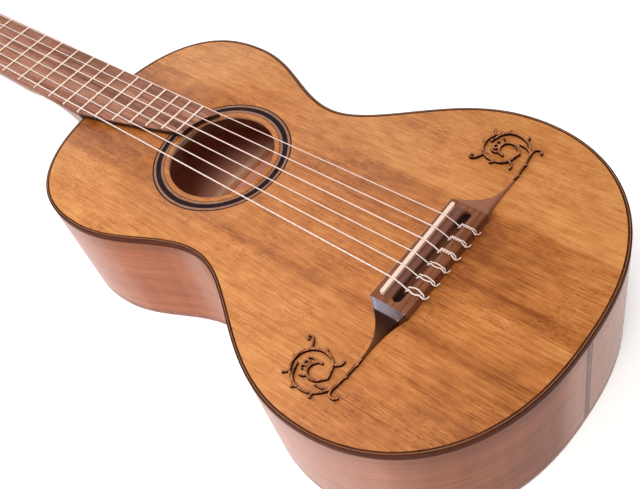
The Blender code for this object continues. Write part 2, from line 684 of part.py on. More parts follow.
def turned_piece(name, profile, sides, finish=None):
    """Spin a profile of radius and height about the vertical, from its top down."""
    data = bpy.data.meshes.new(name)
    points = [(radius, 0, height) for radius, height in profile]
    data.from_pydata(points, [(k, k + 1) for k in range(len(points) - 1)], [])
    piece = place(bpy.data.objects.new(name, data), finish)
    turn = piece.modifiers.new("turned", "SCREW")
    turn.steps = sides
    turn.render_steps = sides
    turn.use_merge_vertices = True
    turn.merge_threshold = 0.00001
    return piece


def peg_mesh():
    """A friction peg: a tapered shank, a flange behind the head and a flat thumb piece."""
    under = -HEAD_THICK - GAP
    stem_end = under - PEG_FLANGE_THICK - PEG_STEM_LENGTH
    thumb_middle = stem_end - PEG_THUMB_SIZE[2] * 0.40
    profile = [(0.0, PEG_TIP_ABOVE), (PEG_TIP_RADIUS * 0.75, PEG_TIP_ABOVE),
               (PEG_TIP_RADIUS, PEG_TIP_ABOVE - PEG_TIP_RADIUS * 0.3), (PEG_TIP_RADIUS, 0.0),
               (PEG_COLLAR_RADIUS, under), (PEG_FLANGE_RADIUS, under),
               (PEG_FLANGE_RADIUS, under - PEG_FLANGE_THICK * 0.6),
               (PEG_NECK_RADIUS, under - PEG_FLANGE_THICK),
               (PEG_NECK_RADIUS, stem_end), (0.0, thumb_middle)]
    shank = turned_piece("peg_shank", profile, PEG_SIDES)
    work = bmesh.new()
    bmesh.ops.create_uvsphere(work, u_segments=12, v_segments=7, radius=0.5)
    bmesh.ops.scale(work, verts=work.verts, vec=PEG_THUMB_SIZE)
    thumb = mesh_piece("peg_thumb", work, matrix=Matrix.Translation((0, 0, thumb_middle)))
    mesh = settled(shape_with(shank, thumb, "UNION")).data
    bpy.data.objects.remove(shank)
    bpy.data.objects.remove(thumb)
    mesh.shade_smooth()
    mesh.set_sharp_from_angle(angle=radians(40))
    return mesh


def add_pegs():
    """Six pegs, each with its origin on its own turning axis."""
    mesh = peg_mesh()
    for number in range(1, STRING_COUNT + 1):
        peg = bpy.data.objects.new(f"peg_{number}", mesh.copy())
        place(peg, "ebony", HEAD_FRAME @ Matrix.Translation((*peg_place(number), 0)))


def fret_along(number):
    """A fret's place in the neck's frame."""
    return SCALE_LENGTH * 2 ** (-number / 12) - NECK_JOINT_Y


def hole_arc(x):
    """The end of the board over the sound hole, in the neck's frame."""
    return HOLE_Y + sqrt((HOLE_RADIUS - BOARD_OVER_HOLE) ** 2 - x**2) - NECK_JOINT_Y


def board_bass_edge(along):
    """The board's bass edge: the plain taper, then the slant that leaves that side of the body free."""
    if along >= 0:
        return -board_half_width(along)
    share = along / hole_arc(BOARD_TIP_X)
    start = -board_half_width(0)
    return start + (BOARD_TIP_X - start) * share - BOARD_CUT_BOW * sin(pi * min(share, 1.0) ** 0.7)


def board_loop():
    """The fingerboard seen from above, in the neck's frame."""
    corner = board_half_width(0)
    for _ in range(4):
        corner = board_half_width(hole_arc(corner))
    tip = hole_arc(BOARD_TIP_X)
    loop = [(board_half_width(NUT_ALONG), NUT_ALONG), (-board_half_width(NUT_ALONG), NUT_ALONG)]
    loop += [(board_bass_edge(tip * k / 9), tip * k / 9) for k in range(9)]
    span = corner - BOARD_TIP_X
    loop += [(BOARD_TIP_X + span * k / 10, hole_arc(BOARD_TIP_X + span * k / 10)) for k in range(11)]
    return loop


def add_board():
    """The fingerboard with a slot for every fret."""
    board = flat_piece("fingerboard", [board_loop()], 0.0, BOARD_THICK, "rosewood", NECK_FRAME)
    slots = bmesh.new()
    size = Matrix.Diagonal((BOARD_WIDTH_BODY * 1.2, FRET_TANG + 2 * GAP, 2 * (FRET_TANG_DEPTH + GAP), 1))
    for number in range(1, FRET_COUNT + 1):
        middle = Matrix.Translation((0, fret_along(number), BOARD_THICK))
        bmesh.ops.create_cube(slots, size=1.0, matrix=middle @ size)
    shape_with(board, mesh_piece("fret_slots", slots, matrix=NECK_FRAME))


def fret_section():
    """The T-shaped section of a fret: a rounded crown on a narrow tang."""
    half, tang, rise = FRET_WIDTH / 2, FRET_TANG / 2, FRET_HEIGHT - GAP
    crown = [(half * cos(pi * k / 6), GAP + rise * max(sin(pi * k / 6), 0.0) ** 0.8) for k in range(7)]
    return [(-tang, -FRET_TANG_DEPTH), (tang, -FRET_TANG_DEPTH), (tang, GAP)] + crown + [(-tang, GAP)]


def add_frets():
    """Eighteen frets, the last six cut short by the slanted edge."""
    turn = Matrix.Rotation(pi / 2, 4, "Z") @ Matrix.Rotation(pi / 2, 4, "X")
    for number in range(1, FRET_COUNT + 1):
        along = fret_along(number)
        place_at = NECK_FRAME @ Matrix.Translation((0, along, BOARD_THICK)) @ turn
        flat_piece(f"fret_{number:02d}", [fret_section()], board_bass_edge(along) + GAP,
                   board_half_width(along) - GAP, "fret_metal", place_at)


def string_x(number, span):
    """How far a string lies from the centre line for a given span of the outer two."""
    return span * (0.5 - (number - 1) / (STRING_COUNT - 1))


def add_nut():
    """The nut: a bar with a rounded groove for each string."""
    half = BOARD_WIDTH_NUT / 2
    top = BOARD_THICK + FRET_HEIGHT + NUT_ABOVE_FRETS
    line = [(-half, 0.0), (half, 0.0), (half, top - NUT_EASE), (half - NUT_EASE, top)]
    for number in range(1, STRING_COUNT + 1):
        centre = string_x(number, STRING_SPAN_NUT)
        reach = STRING_RADII[number - 1] + GAP
        line += [(centre + reach * 1.1, top)]
        line += [(centre + reach * 1.08 * cos(pi * k / 4), STRING_UP_AT_NUT - reach * 1.08 * sin(pi * k / 4))
                 for k in range(5)]
        line += [(centre - reach * 1.1, top)]
    line += [(-half + NUT_EASE, top), (-half, top - NUT_EASE)]
    middle = Matrix.Translation((0, NUT_ALONG + GAP + NUT_THICK / 2, 0))
    flat_piece("nut", [line], -NUT_THICK / 2, NUT_THICK / 2, "bone",
               NECK_FRAME @ middle @ Matrix.Rotation(pi / 2, 4, "X"))


def bridge_ring(x, rear, front, height, roundness=0.0):
    """One section of the bridge: flat with a slanting rear wall, or as round as asked."""
    draft = min(BRIDGE_DRAFT, (front - rear) * 0.2)
    edge = min(BRIDGE_EDGE, height * 0.3, (front - rear) * 0.2)
    base = BODY_DEPTH + GAP
    section = [(rear, 0.0), (rear + draft, height - edge), (rear + draft + edge, height),
               (front - edge, height), (front, height - edge), (front, 0.0)]
    ring = []
    for k, (y, up) in enumerate(section):
        turn = pi * k / (len(section) - 1)
        round_y = (front + rear) / 2 - (front - rear) / 2 * cos(turn)
        round_up = height * max(sin(turn), 0.0) ** WING_CROWN
        ring.append((x, y + (round_y - y) * roundness, base + up + (round_up - up) * roundness))
    return ring


def wing_rings(wing):
    """The sections of one wing, from its tip to the end of the block."""
    tip_x, tip_y = wing["tip"]
    length = tip_x - GAP - BRIDGE_HALF_LENGTH
    block_rear = BRIDGE_REAR_Y - BRIDGE_DRAFT
    tip_front, tip_rear = tip_y + WING_TIP_WIDTH / 2, tip_y - WING_TIP_WIDTH / 2
    steps = [WING_SHOULDER + (length - WING_SHOULDER) * k / WING_STEPS for k in range(WING_STEPS, -1, -1)]
    rings = []
    for out in steps + [WING_SHOULDER / 2, 0.0]:
        left = 1 - out / length
        front = tip_front + (BRIDGE_FRONT_Y - tip_front) * left ** wing["neck_power"]
        rear = tip_rear + (block_rear - tip_rear) * left ** wing["tail_power"]
        past = (out - WING_SHOULDER) / (length - WING_SHOULDER)
        if past >= 0:
            rise = WING_TIP_HEIGHT + (WING_SHOULDER_HEIGHT - WING_TIP_HEIGHT) * (1 - past) ** 1.8
        else:
            rise = BRIDGE_HEIGHT - GAP + (WING_SHOULDER_HEIGHT - BRIDGE_HEIGHT + GAP) * out / WING_SHOULDER
        roundness = min(max(past, 0.0) / WING_ROUND_BY, 1.0)
        x = wing["side"] * (BRIDGE_HALF_LENGTH + out)
        rings.append(bridge_ring(x, rear, front, rise, roundness))
    return rings


def add_bridge():
    """The bridge in one piece, with its saddle seat, string slot and the tie bar's six holes."""
    rings = wing_rings(WINGS["bass"]) + list(reversed(wing_rings(WINGS["treble"])))
    bridge = loft("bridge", rings, "dark_wood")
    above = BODY_DEPTH + SADDLE_TOP
    slant = Matrix.Rotation(SADDLE_SLANT, 4, "Z")
    seat_loop = stadium(SADDLE_LENGTH + 2 * GAP, SADDLE_THICK + 2 * GAP)
    seat = flat_piece("saddle_seat", [seat_loop], BODY_DEPTH + SADDLE_SEAT, above, matrix=slant)
    slot_loop = stadium(SLOT_LENGTH, SLOT_FRONT_Y - SLOT_REAR_Y, (0, (SLOT_FRONT_Y + SLOT_REAR_Y) / 2))
    slot = flat_piece("string_slot", [slot_loop], BODY_DEPTH + SLOT_FLOOR, above)
    holes = bmesh.new()
    reach = SLOT_REAR_Y - BRIDGE_REAR_Y + BRIDGE_DRAFT
    lie = Matrix.Rotation(pi / 2, 4, "X")
    for number in range(1, STRING_COUNT + 1):
        middle = Matrix.Translation((string_x(number, STRING_SPAN_SADDLE), SLOT_REAR_Y - reach / 2,
                                     BODY_DEPTH + TIE_HOLE_HEIGHT))
        bmesh.ops.create_cone(holes, cap_ends=True, segments=8, radius1=TIE_HOLE_RADIUS,
                              radius2=TIE_HOLE_RADIUS, depth=reach * 1.3, matrix=middle @ lie)
    for tool in (seat, slot, mesh_piece("tie_holes", holes)):
        shape_with(bridge, tool)
    flat_piece("saddle", [stadium(SADDLE_LENGTH, SADDLE_THICK)], BODY_DEPTH + SADDLE_SEAT + GAP, above,
               "bone", slant)


def vine(points, widths):
    """A stretch of stem or leaf: a narrowing strip with a low ridge along it."""
    path = smooth_through([(out, up, 0) for out, up in points], VINE_STEP)
    top = Vector((0, 0, VINE_HEIGHT))
    rings = []
    for index, here in enumerate(path):
        along = (path[min(index + 1, len(path) - 1)] - path[max(index - 1, 0)]).normalized()
        half = (widths[0] + (widths[1] - widths[0]) * index / (len(path) - 1)) / 2
        aside = Vector((-along.y, along.x, 0)) * half
        shoulder = top * VINE_SHOULDER
        rings.append([here - aside, here + aside, here + aside * 0.8 + shoulder, here + top,
                      here - aside * 0.8 + shoulder])
    return loft("vine", rings)


def bud(centre):
    """A small bead that ends or marks a stem."""
    work = bmesh.new()
    bmesh.ops.create_cone(work, cap_ends=True, segments=7, radius1=BUD_RADIUS, radius2=BUD_RADIUS * 0.55,
                          depth=BUD_HEIGHT, matrix=Matrix.Translation((*centre, BUD_HEIGHT / 2)))
    return mesh_piece("bud", work)


def scroll_mesh():
    """One vine scroll as a single body, its first stem starting at the origin."""
    pieces = [vine(points, widths) for points, widths in zip(VINES, VINE_WIDTHS)]
    pieces += [bud(centre) for centre in BUDS]
    pieces += [flat_piece("eye", [circle(radius, 10, EYE_PLACE) for radius in EYE_RADII], 0.0, VINE_HEIGHT)]
    for piece in pieces[1:]:
        shape_with(pieces[0], piece, "UNION")
    mesh = settled(pieces[0]).data
    for piece in pieces:
        bpy.data.objects.remove(piece)
    return mesh


def add_scrolls():
    """Both scrolls, the same carving mirrored, each starting at its wing's tip."""
    source = scroll_mesh()
    for name, wing in WINGS.items():
        work = bmesh.new()
        work.from_mesh(source)
        bmesh.ops.scale(work, verts=work.verts, vec=(wing["side"], 1, 1))
        start = (wing["side"] * wing["tip"][0], wing["tip"][1], BODY_DEPTH + GAP)
        bmesh.ops.translate(work, verts=work.verts, vec=start)
        mesh_piece(f"scroll_{name}", work, "dark_wood", smooth_angle=50)


def open_loop(number, radius, side):
    """One strand of a bass string's tie over the tie bar, from the rear to the slot."""
    height = BRIDGE_HEIGHT + GAP + radius + 0.0001
    wide = side * (TIE_LOOP_HALF_WIDTHS[number] - radius)
    start, end = BRIDGE_REAR_Y + 0.0005, SLOT_REAR_Y + 0.0003
    shares = [k / TIE_LOOP_STEPS for k in range(TIE_LOOP_STEPS + 1)]
    return [(wide * sin(pi * (TIE_LOOP_ARC + (1 - 2 * TIE_LOOP_ARC) * share)), start + (end - start) * share,
             height) for share in shares]


def twisted_strand(radius, side):
    """One strand of a treble string's tie over the tie bar, wound round the other."""
    swing = radius + TWIST_CLEARANCE
    height = BRIDGE_HEIGHT + GAP + swing + radius + 0.0001
    start, end = BRIDGE_REAR_Y + 0.0004, SLOT_REAR_Y + 0.0004
    strand = []
    for k in range(TWIST_TURNS * TWIST_POINTS + 1):
        angle = 2 * pi * k / TWIST_POINTS
        share = k / (TWIST_TURNS * TWIST_POINTS)
        strand.append((side * swing * cos(angle), start + (end - start) * share,
                       height + side * swing * sin(angle)))
    return strand


def tie(number):
    """A string's end at the bridge: tail, over the bar, round the string, back over and into its hole."""
    radius = STRING_RADII[number - 1]
    strands = {}
    for side in (-1, 1):
        plain = number in TIE_LOOP_HALF_WIDTHS
        strands[side] = open_loop(number, radius, side) if plain else twisted_strand(radius, side)
    rear, front = BRIDGE_REAR_Y - BRIDGE_DRAFT, SLOT_REAR_Y
    hang = 2 * radius + SELF_GAP
    low = SLOT_FLOOR + GAP + radius + 0.0002
    tail = [(0.0028, rear - 0.0028, 0.0042), (0.0014, rear - 0.0027, 0.0046),
            (-0.0004, rear - 0.0024, 0.0054), (-0.0014, rear - 0.0012, 0.0066)]
    down = [(-hang, front + 0.0016, 0.0062), (-hang, front + 0.0028, 0.0046),
            (-hang * 0.6, front + 0.0032, low + 0.0003)]
    under = [(0.0, front + 0.0033, low)]
    up = [(-x, y, z) for x, y, z in reversed(down)]
    into = [(0.0006, rear - 0.0005, 0.0068), (0.0002, rear - 0.0009, 0.0048),
            (0.0, rear - 0.0006, TIE_HOLE_HEIGHT + 0.0002), (0.0, rear + 0.0006, TIE_HOLE_HEIGHT),
            (0.0, front - 0.0002, TIE_HOLE_HEIGHT), (0.0, front + 0.0008, TIE_HOLE_HEIGHT + 0.0002)]
    route = tail + strands[-1] + down + under + up + list(reversed(strands[1])) + into
    centre = Vector((string_x(number, STRING_SPAN_SADDLE), 0, BODY_DEPTH))
    return [centre + Vector(point) for point in route]


def peg_winding(number, start):
    """The turns of a string round its peg, in the head's frame, from where it first touches."""
    radius = STRING_RADII[number - 1]
    across, along = peg_place(number)
    turn = -1 if across > 0 else 1
    swing = (PEG_TIP_RADIUS + WINDING_CLEARANCE + radius) / cos(pi / WINDING_POINTS)
    pitch = 2 * radius + SELF_GAP
    away = Vector((start.x - across, start.y - along))
    first = atan2(away.y, away.x) + turn * acos(swing / away.length)
    count = round(WINDING_TURNS * WINDING_POINTS)
    points = []
    for k in range(count + 1):
        angle = first + turn * 2 * pi * k / WINDING_POINTS
        height = WINDING_ABOVE_FACE + radius + pitch * (count - k) / WINDING_POINTS
        points.append(Vector((across + swing * cos(angle), along + swing * sin(angle), height)))
    return points


def string_path(number):
    """The whole run of a string: tie, saddle, nut and peg."""
    radius = STRING_RADII[number - 1]
    x = string_x(number, STRING_SPAN_SADDLE)
    slant = x * sin(SADDLE_SLANT)
    rest = BODY_DEPTH + SADDLE_TOP + GAP + radius
    edge = BODY_DEPTH + BRIDGE_HEIGHT + GAP + radius + 0.0001
    path = smooth_through(tie(number), KNOT_STEP)
    path += [Vector((x, SLOT_FRONT_Y - 0.0002, edge))]
    path += [Vector((x, slant - SADDLE_THICK / 2, rest)), Vector((x, slant + SADDLE_THICK / 2, rest))]
    nut_x = string_x(number, STRING_SPAN_NUT)
    ends = [NUT_ALONG + GAP, NUT_ALONG + GAP + NUT_THICK]
    path += [NECK_FRAME @ Vector((nut_x, along, STRING_UP_AT_NUT)) for along in ends]
    start = HEAD_FRAME.inverted() @ path[-1]
    return path + [HEAD_FRAME @ point for point in peg_winding(number, start)]


def least_self_gap(path, radius):
    """The least clear distance between two stretches of a bent string."""
    samples = []
    travelled = 0.0
    for first, second in zip(path, path[1:]):
        length = (second - first).length
        if length < 0.02:
            count = max(1, round(length / 0.00015))
            samples += [(*first.lerp(second, k / count), travelled + length * k / count)
                        for k in range(count)]
        travelled += length
    samples = numpy.array(samples)
    apart = numpy.linalg.norm(samples[:, None, :3] - samples[None, :, :3], axis=2)
    distant = numpy.abs(samples[:, None, 3] - samples[None, :, 3]) > 7 * radius
    return float(apart[distant].min()) - 2 * radius


def add_strings():
    """Six strings, each one unbroken tube from its tie to its peg."""
    for number in range(1, STRING_COUNT + 1):
        radius = STRING_RADII[number - 1]
        path = string_path(number)
        data = bpy.data.curves.new(f"string_{number}", "CURVE")
        data.dimensions = "3D"
        data.bevel_depth = radius
        data.bevel_resolution = STRING_BEVEL_STEPS
        data.use_fill_caps = True
        spline = data.splines.new("POLY")
        spline.points.add(len(path) - 1)
        for point, spot in zip(spline.points, path):
            point.co = (*spot, 1)
        wound = number in TIE_LOOP_HALF_WIDTHS
        place(bpy.data.objects.new(data.name, data), "string_wound" if wound else "string_plain")
        gap = least_self_gap(path, radius)
        print(f"{data.name}: {len(path)} points, least self-gap {gap * 1000:.2f} mm")


def build():
    """Make every piece of the guitar."""
    add_soundboard()
    add_back()
    add_ribs()
    add_edges()
    add_blocks_and_linings()
    add_braces()
    add_neck()
    add_head()
    add_pegs()
    add_board()
    add_frets()
    add_nut()
    add_bridge()
    add_scrolls()
    add_strings()


clear_scene()
PARTS = new_collection("romantic_guitar")
CUTTERS = new_collection("cutters", hidden=True)
build()
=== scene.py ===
"""Romantic guitar: finer pieces over the CAD frame, their finishes, and a plain studio.

Metres, +Z up, in the frame's own axes: the back lies on z = 0, the neck points along +Y, x = 0
is the centre line and y = 0 the saddle line. Lengths inside a finish are in millimetres.
"""

import logging
from collections.abc import Callable, Sequence
from dataclasses import dataclass, field
from enum import Enum
from math import acos, atan2, cos, pi, radians, sin, sqrt

import bpy
from mathutils import Matrix, Vector


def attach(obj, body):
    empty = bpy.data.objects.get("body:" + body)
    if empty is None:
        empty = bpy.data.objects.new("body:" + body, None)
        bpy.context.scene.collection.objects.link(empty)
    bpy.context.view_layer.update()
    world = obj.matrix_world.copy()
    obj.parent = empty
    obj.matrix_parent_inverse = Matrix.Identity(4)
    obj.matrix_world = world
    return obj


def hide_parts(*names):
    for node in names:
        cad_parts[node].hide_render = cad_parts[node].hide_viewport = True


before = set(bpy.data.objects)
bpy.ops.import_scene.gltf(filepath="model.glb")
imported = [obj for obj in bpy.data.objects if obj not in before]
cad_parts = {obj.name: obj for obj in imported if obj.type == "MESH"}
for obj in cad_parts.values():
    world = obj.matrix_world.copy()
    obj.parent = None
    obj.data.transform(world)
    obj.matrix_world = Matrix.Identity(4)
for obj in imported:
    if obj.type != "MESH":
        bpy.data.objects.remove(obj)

Point = tuple[float, float, float]
Flat = tuple[float, float]
Colour = tuple[float, float, float]
Shades = tuple[Colour, Colour, Colour]
Ring = Sequence[Sequence[float]]

LOG = logging.getLogger("guitar")
GUITAR = "guitar"
SIDES = (("bass", -1), ("treble", 1))
# The room left between two pieces that touch on the real instrument.
GAP = 0.0003
# How far a sharp wooden edge is broken.
BROKEN = 0.00025
MM = 0.001


class Ink:
    """A shader value that plain arithmetic can be written with."""

    def __init__(self, surface: "Surface", socket: bpy.types.NodeSocket) -> None:
        """Keep the socket and the surface that it belongs to."""
        self.surface = surface
        self.socket = socket

    def _math(self, operation: str, *operands: "Ink | float") -> "Ink":
        """Add one Math node with its inputs in order."""
        return self.surface.node("ShaderNodeMath", {"operation": operation}, dict(enumerate(operands)))

    def __add__(self, other: "Ink | float") -> "Ink":
        """Sum."""
        return self._math("ADD", self, other)

    __radd__ = __add__

    def __mul__(self, other: "Ink | float") -> "Ink":
        """Product."""
        return self._math("MULTIPLY", self, other)

    __rmul__ = __mul__

    def __sub__(self, other: "Ink | float") -> "Ink":
        """Difference."""
        return self._math("SUBTRACT", self, other)

    def __rsub__(self, other: float) -> "Ink":
        """Difference from a plain number."""
        return self._math("SUBTRACT", other, self)

    def __truediv__(self, other: "Ink | float") -> "Ink":
        """Quotient."""
        return self._math("DIVIDE", self, other)

    def clamped(self) -> "Ink":
        """The value held between 0 and 1."""
        return self.surface.node("ShaderNodeClamp", {}, {0: self})

    def fraction(self) -> "Ink":
        """What is left after the last whole number."""
        return self._math("FRACT", self)

    def size(self) -> "Ink":
        """The value without its sign."""
        return self._math("ABSOLUTE", self)

    def root(self) -> "Ink":
        """The square root."""
        return self._math("SQRT", self)

    def bell(self, centre: "Ink | float", width: float) -> "Ink":
        """A smooth bump: 1 at the centre, a third of that one width away, almost 0 at two widths."""
        away = (self - centre) / width
        return self._math("EXPONENT", away * away * -1.0)

    def rise(self, low: float, high: float) -> "Ink":
        """A smooth step from 0 at low to 1 at high, downward if low is the larger.

        Args:
            low: Where the step starts.
            high: Where it ends.

        Returns:
            The step.
        """
        if low > high:
            return 1.0 - self.rise(high, low)
        limits = {"Value": self, "From Min": low, "From Max": high}
        return self.surface.node("ShaderNodeMapRange", {"interpolation_type": "SMOOTHSTEP"}, limits)


class Surface:
    """A material being drawn up, with the few calls that add to it."""

    def __init__(self, name: str) -> None:
        """Start an empty material that holds one Principled shader.

        Args:
            name: The material's name.
        """
        self.material = bpy.data.materials.new(name)
        self.material.use_nodes = True
        self.tree = self.material.node_tree
        self.shader = self.tree.nodes["Principled BSDF"]
        self._place: Ink | None = None

    def node(self, kind: str, settings: dict, inputs: dict, output: int | str = 0) -> Ink:
        """Add a node.

        Args:
            kind: The node's type.
            settings: Its settings, set first; "stops" gives a ramp's places and colours.
            inputs: Values or links by socket name or number.
            output: Which result to hand back.

        Returns:
            The chosen result.
        """
        made = self.tree.nodes.new(kind)
        for key, value in settings.items():
            if key == "stops":
                self._stops(made.color_ramp, value)
            else:
                setattr(made, key, value)
        for key, value in inputs.items():
            self._feed(made.inputs[key], value)
        return Ink(self, made.outputs[output])

    def _feed(self, socket: bpy.types.NodeSocket, value: "Ink | float | Sequence[float]") -> None:
        """Link or set one socket.

        Args:
            socket: The socket.
            value: What it is set to or linked to.
        """
        if isinstance(value, Ink):
            self.tree.links.new(value.socket, socket)
        elif socket.type == "RGBA" and len(value) == 3:
            socket.default_value = (*value, 1.0)
        else:
            socket.default_value = value

    @staticmethod
    def _stops(ramp: bpy.types.ColorRamp, stops: Sequence[tuple[float, Colour]]) -> None:
        """Set a ramp's places and colours.

        Args:
            ramp: The ramp.
            stops: Its places, each with a colour.
        """
        while len(ramp.elements) < len(stops):
            ramp.elements.new(1.0)
        for element, (place, colour) in zip(ramp.elements, stops):
            element.position = place
            element.color = (*colour, 1.0)

    def place(self) -> Ink:
        """The point on the object, in metres."""
        if self._place is None:
            self._place = self.node("ShaderNodeTexCoord", {}, {}, "Object")
        return self._place

    def axes(self) -> tuple[Ink, Ink, Ink]:
        """The point's three coordinates, in millimetres.

        Returns:
            X, y and z.
        """
        inputs = {0: self.place(), "Scale": 1 / MM}
        scaled = self.node("ShaderNodeVectorMath", {"operation": "SCALE"}, inputs)
        split = self.node("ShaderNodeSeparateXYZ", {}, {0: scaled})
        return tuple(Ink(self, output) for output in split.socket.node.outputs)

    def noise(self, lengths: Point, detail: float = 2.0, shift: Point = (0.0, 0.0, 0.0),
              distortion: float = 0.0) -> Ink:
        """Soft noise with features of the given lengths, about 0.5 in the mean.

        Args:
            lengths: The features' size along each axis, in millimetres; 0 leaves an axis out.
            detail: How many finer layers it has.
            shift: Moves the pattern.
            distortion: How much it is stirred.

        Returns:
            The noise.
        """
        scale = [1 / (length * MM) if length else 0.0 for length in lengths]
        where = {"Vector": self.place(), "Location": shift, "Scale": scale}
        inputs = {"Vector": self.node("ShaderNodeMapping", {}, where), "Scale": 1.0, "Detail": detail,
                  "Distortion": distortion}
        return self.node("ShaderNodeTexNoise", {}, inputs)

    def wood(self, tone: Ink, shades: Shades) -> Ink:
        """Turn a tone from 0 to 1 into a colour between the dark, the middle and the light shade."""
        stops = list(zip((0.0, 0.5, 1.0), shades))
        return self.node("ShaderNodeValToRGB", {"stops": stops}, {0: tone.clamped()})

    def mix(self, first: "Ink | Colour", second: "Ink | Colour", share: "Ink | float") -> Ink:
        """Blend two colours: the first at a share of 0, the second at 1."""
        return self.node("ShaderNodeMix", {"data_type": "RGBA"}, {0: share, 6: first, 7: second}, 2)

    def relief(self, height: Ink, depth: float) -> None:
        """Feed a Bump node from a height of 0 to 1 that stands for a depth in metres."""
        bump = self.node("ShaderNodeBump", {}, {"Height": height, "Distance": depth, "Strength": 1.0})
        self.finish(Normal=bump)

    def finish(self, **sockets: "Ink | float | Colour") -> bpy.types.Material:
        """Set or link the shader's own sockets, with _ for a space in their names."""
        for key, value in sockets.items():
            self._feed(self.shader.inputs[key.replace("_", " ")], value)
        return self.material


@dataclass(frozen=True)
class TopWood:
    """The varnished soundboard: fine straight grain, short dark flecks, broad darker bands, a painted shadow
    behind the bridge and painted light on the hole's wall.
    """

    shades: Shades = ((0.240, 0.056, 0.005), (0.495, 0.166, 0.034), (0.700, 0.305, 0.092))
    band_x: float = -50.0
    step_x: float = 53.0
    streak_x: float = -1.0
    lit_end_grain: Colour = (0.860, 0.640, 0.500)
    dust: Colour = (0.030, 0.012, 0.008)
    opening: float = 41.5
    hole: Flat = (184.6, 45.55)
    grain_step: float = 1.7

    def _bands(self, s: Surface, x: Ink, y: Ink) -> Ink:
        """The broad light and dark parts that follow the grain, and a painted shadow just behind the bridge.

        Args:
            s: The material.
            x: Across the top, in millimetres.
            y: Along it.

        Returns:
            What they add to the tone.
        """
        drift = s.noise((60, 170, 0), 2) - 0.5
        line = x + drift * 7
        outer = line.rise(self.band_x + 4, self.band_x - 6) + line.rise(self.step_x - 0.6, self.step_x + 0.6)
        band = line.bell(self.band_x, 4.5) * (0.11 + y.rise(190, 120) * y.rise(-20, 20) * 0.12)
        below = line.rise(-16, -8) * line.rise(self.step_x, self.step_x - 2) * y.rise(4, -18)
        below = below * (1.0 - y.rise(-64, -108) * x.rise(-8, 12) * 0.75)
        above = line.rise(4, 14) * line.rise(self.step_x, self.step_x - 6) * y.rise(150, 60) * y.rise(0, 20)
        shade = line.rise(self.band_x + 4, self.band_x + 9) * line.rise(-18, -27) * y.rise(215, 235)
        tail = line.rise(-15, -70) * y.rise(40, -110)
        heart = (x + drift * 3).bell(self.streak_x, 1.9) * y.rise(-24, -40) * y.rise(-104, -84)
        pale = x.rise(78, 105) * y.rise(-14, -36)
        # Painted shadow of the bridge on the top just behind it.
        under = line.rise(-40, -28) * line.rise(42, 30) * y.rise(-20, -26) * y.rise(-46, -35)
        upper = y.rise(90, 230) * x.size().rise(84, 56)
        low = y.rise(-70, -100) * x.rise(8, -10)
        lighter = outer * (y.rise(210, 250) * 0.11 + 0.14) - low * 0.09 + pale * 0.12
        return (lighter + y.rise(-20, -90) * 0.12 - upper * 0.10 - under * 0.15 - band - below * 0.26
                - above * 0.14 - shade * 0.14 - tail * 0.36 - heart * 0.30)

    def material(self) -> bpy.types.Material:
        """Draw up the finish.

        Returns:
            The material.
        """
        s = Surface("top_wood")
        x, y, z = s.axes()
        clouds = s.noise((26, 48, 0), 3, (3.1, 0, 0), 0.8) - 0.5
        mottle = s.noise((7, 11, 0), 3, (0, 7.0, 0)) - 0.5
        streaks = s.noise((3.2, 120, 0), 3) - 0.5
        fibres = s.noise((1.25, 20, 0), 3, (0, 3.0, 0)) - 0.5
        flecks = s.noise((0.70, 4.2, 0), 1, (2.0, 9.0, 0)).rise(0.52, 0.68)
        flecked = s.noise((42, 60, 0), 2, (6.0, 1.0, 0)).rise(0.42, 0.62)
        rings = ((x + (s.noise((24, 240, 0), 1) - 0.5) * 12) / self.grain_step).fraction()
        late = rings.rise(0.45, 0.92) * rings.rise(1.0, 0.94)
        silk = s.noise((22, 1.1, 0), 2, (9.0, 4.0, 0)).rise(0.50, 0.72) * clouds.rise(-0.05, 0.15)
        tone = (0.51 + self._bands(s, x, y) + clouds * 0.55 + mottle * 0.48 + streaks * 0.50
                + fibres * 0.95 - flecks * (flecked * 0.22 + 0.07) - late * 0.10 + silk * 0.08)
        wood = s.wood(tone, self.shades)
        centre_y, ring = self.hole
        away = (x * x + (y - centre_y) * (y - centre_y)).root()
        inlay = (away - ring).size().rise(0.34, 0.22)
        s.relief(fibres + 0.5 - flecks * 0.4 + late * 0.2 - inlay * 0.3, 0.00005)
        wall = away.rise(self.opening + 0.3, self.opening + 0.1) * z.rise(100.7, 100.5)
        # Painted pool of light on the hole's pale end-grain wall near the board's bass corner; elsewhere the
        # wall keeps only a fifth of that colour.
        lit = x.rise(10, -8) * x.rise(-36, -26) * y.rise(196, 204)
        wood = s.mix(wood, self.lit_end_grain, wall * (lit * 0.8 + 0.2))
        return s.finish(Base_Color=s.mix(wood, self.dust, inlay), Coat_Weight=0.05,
                        Roughness=0.42 + fibres * 0.20 + flecks * 0.08, Coat_Roughness=0.30,
                        Specular_IOR_Level=0.30)


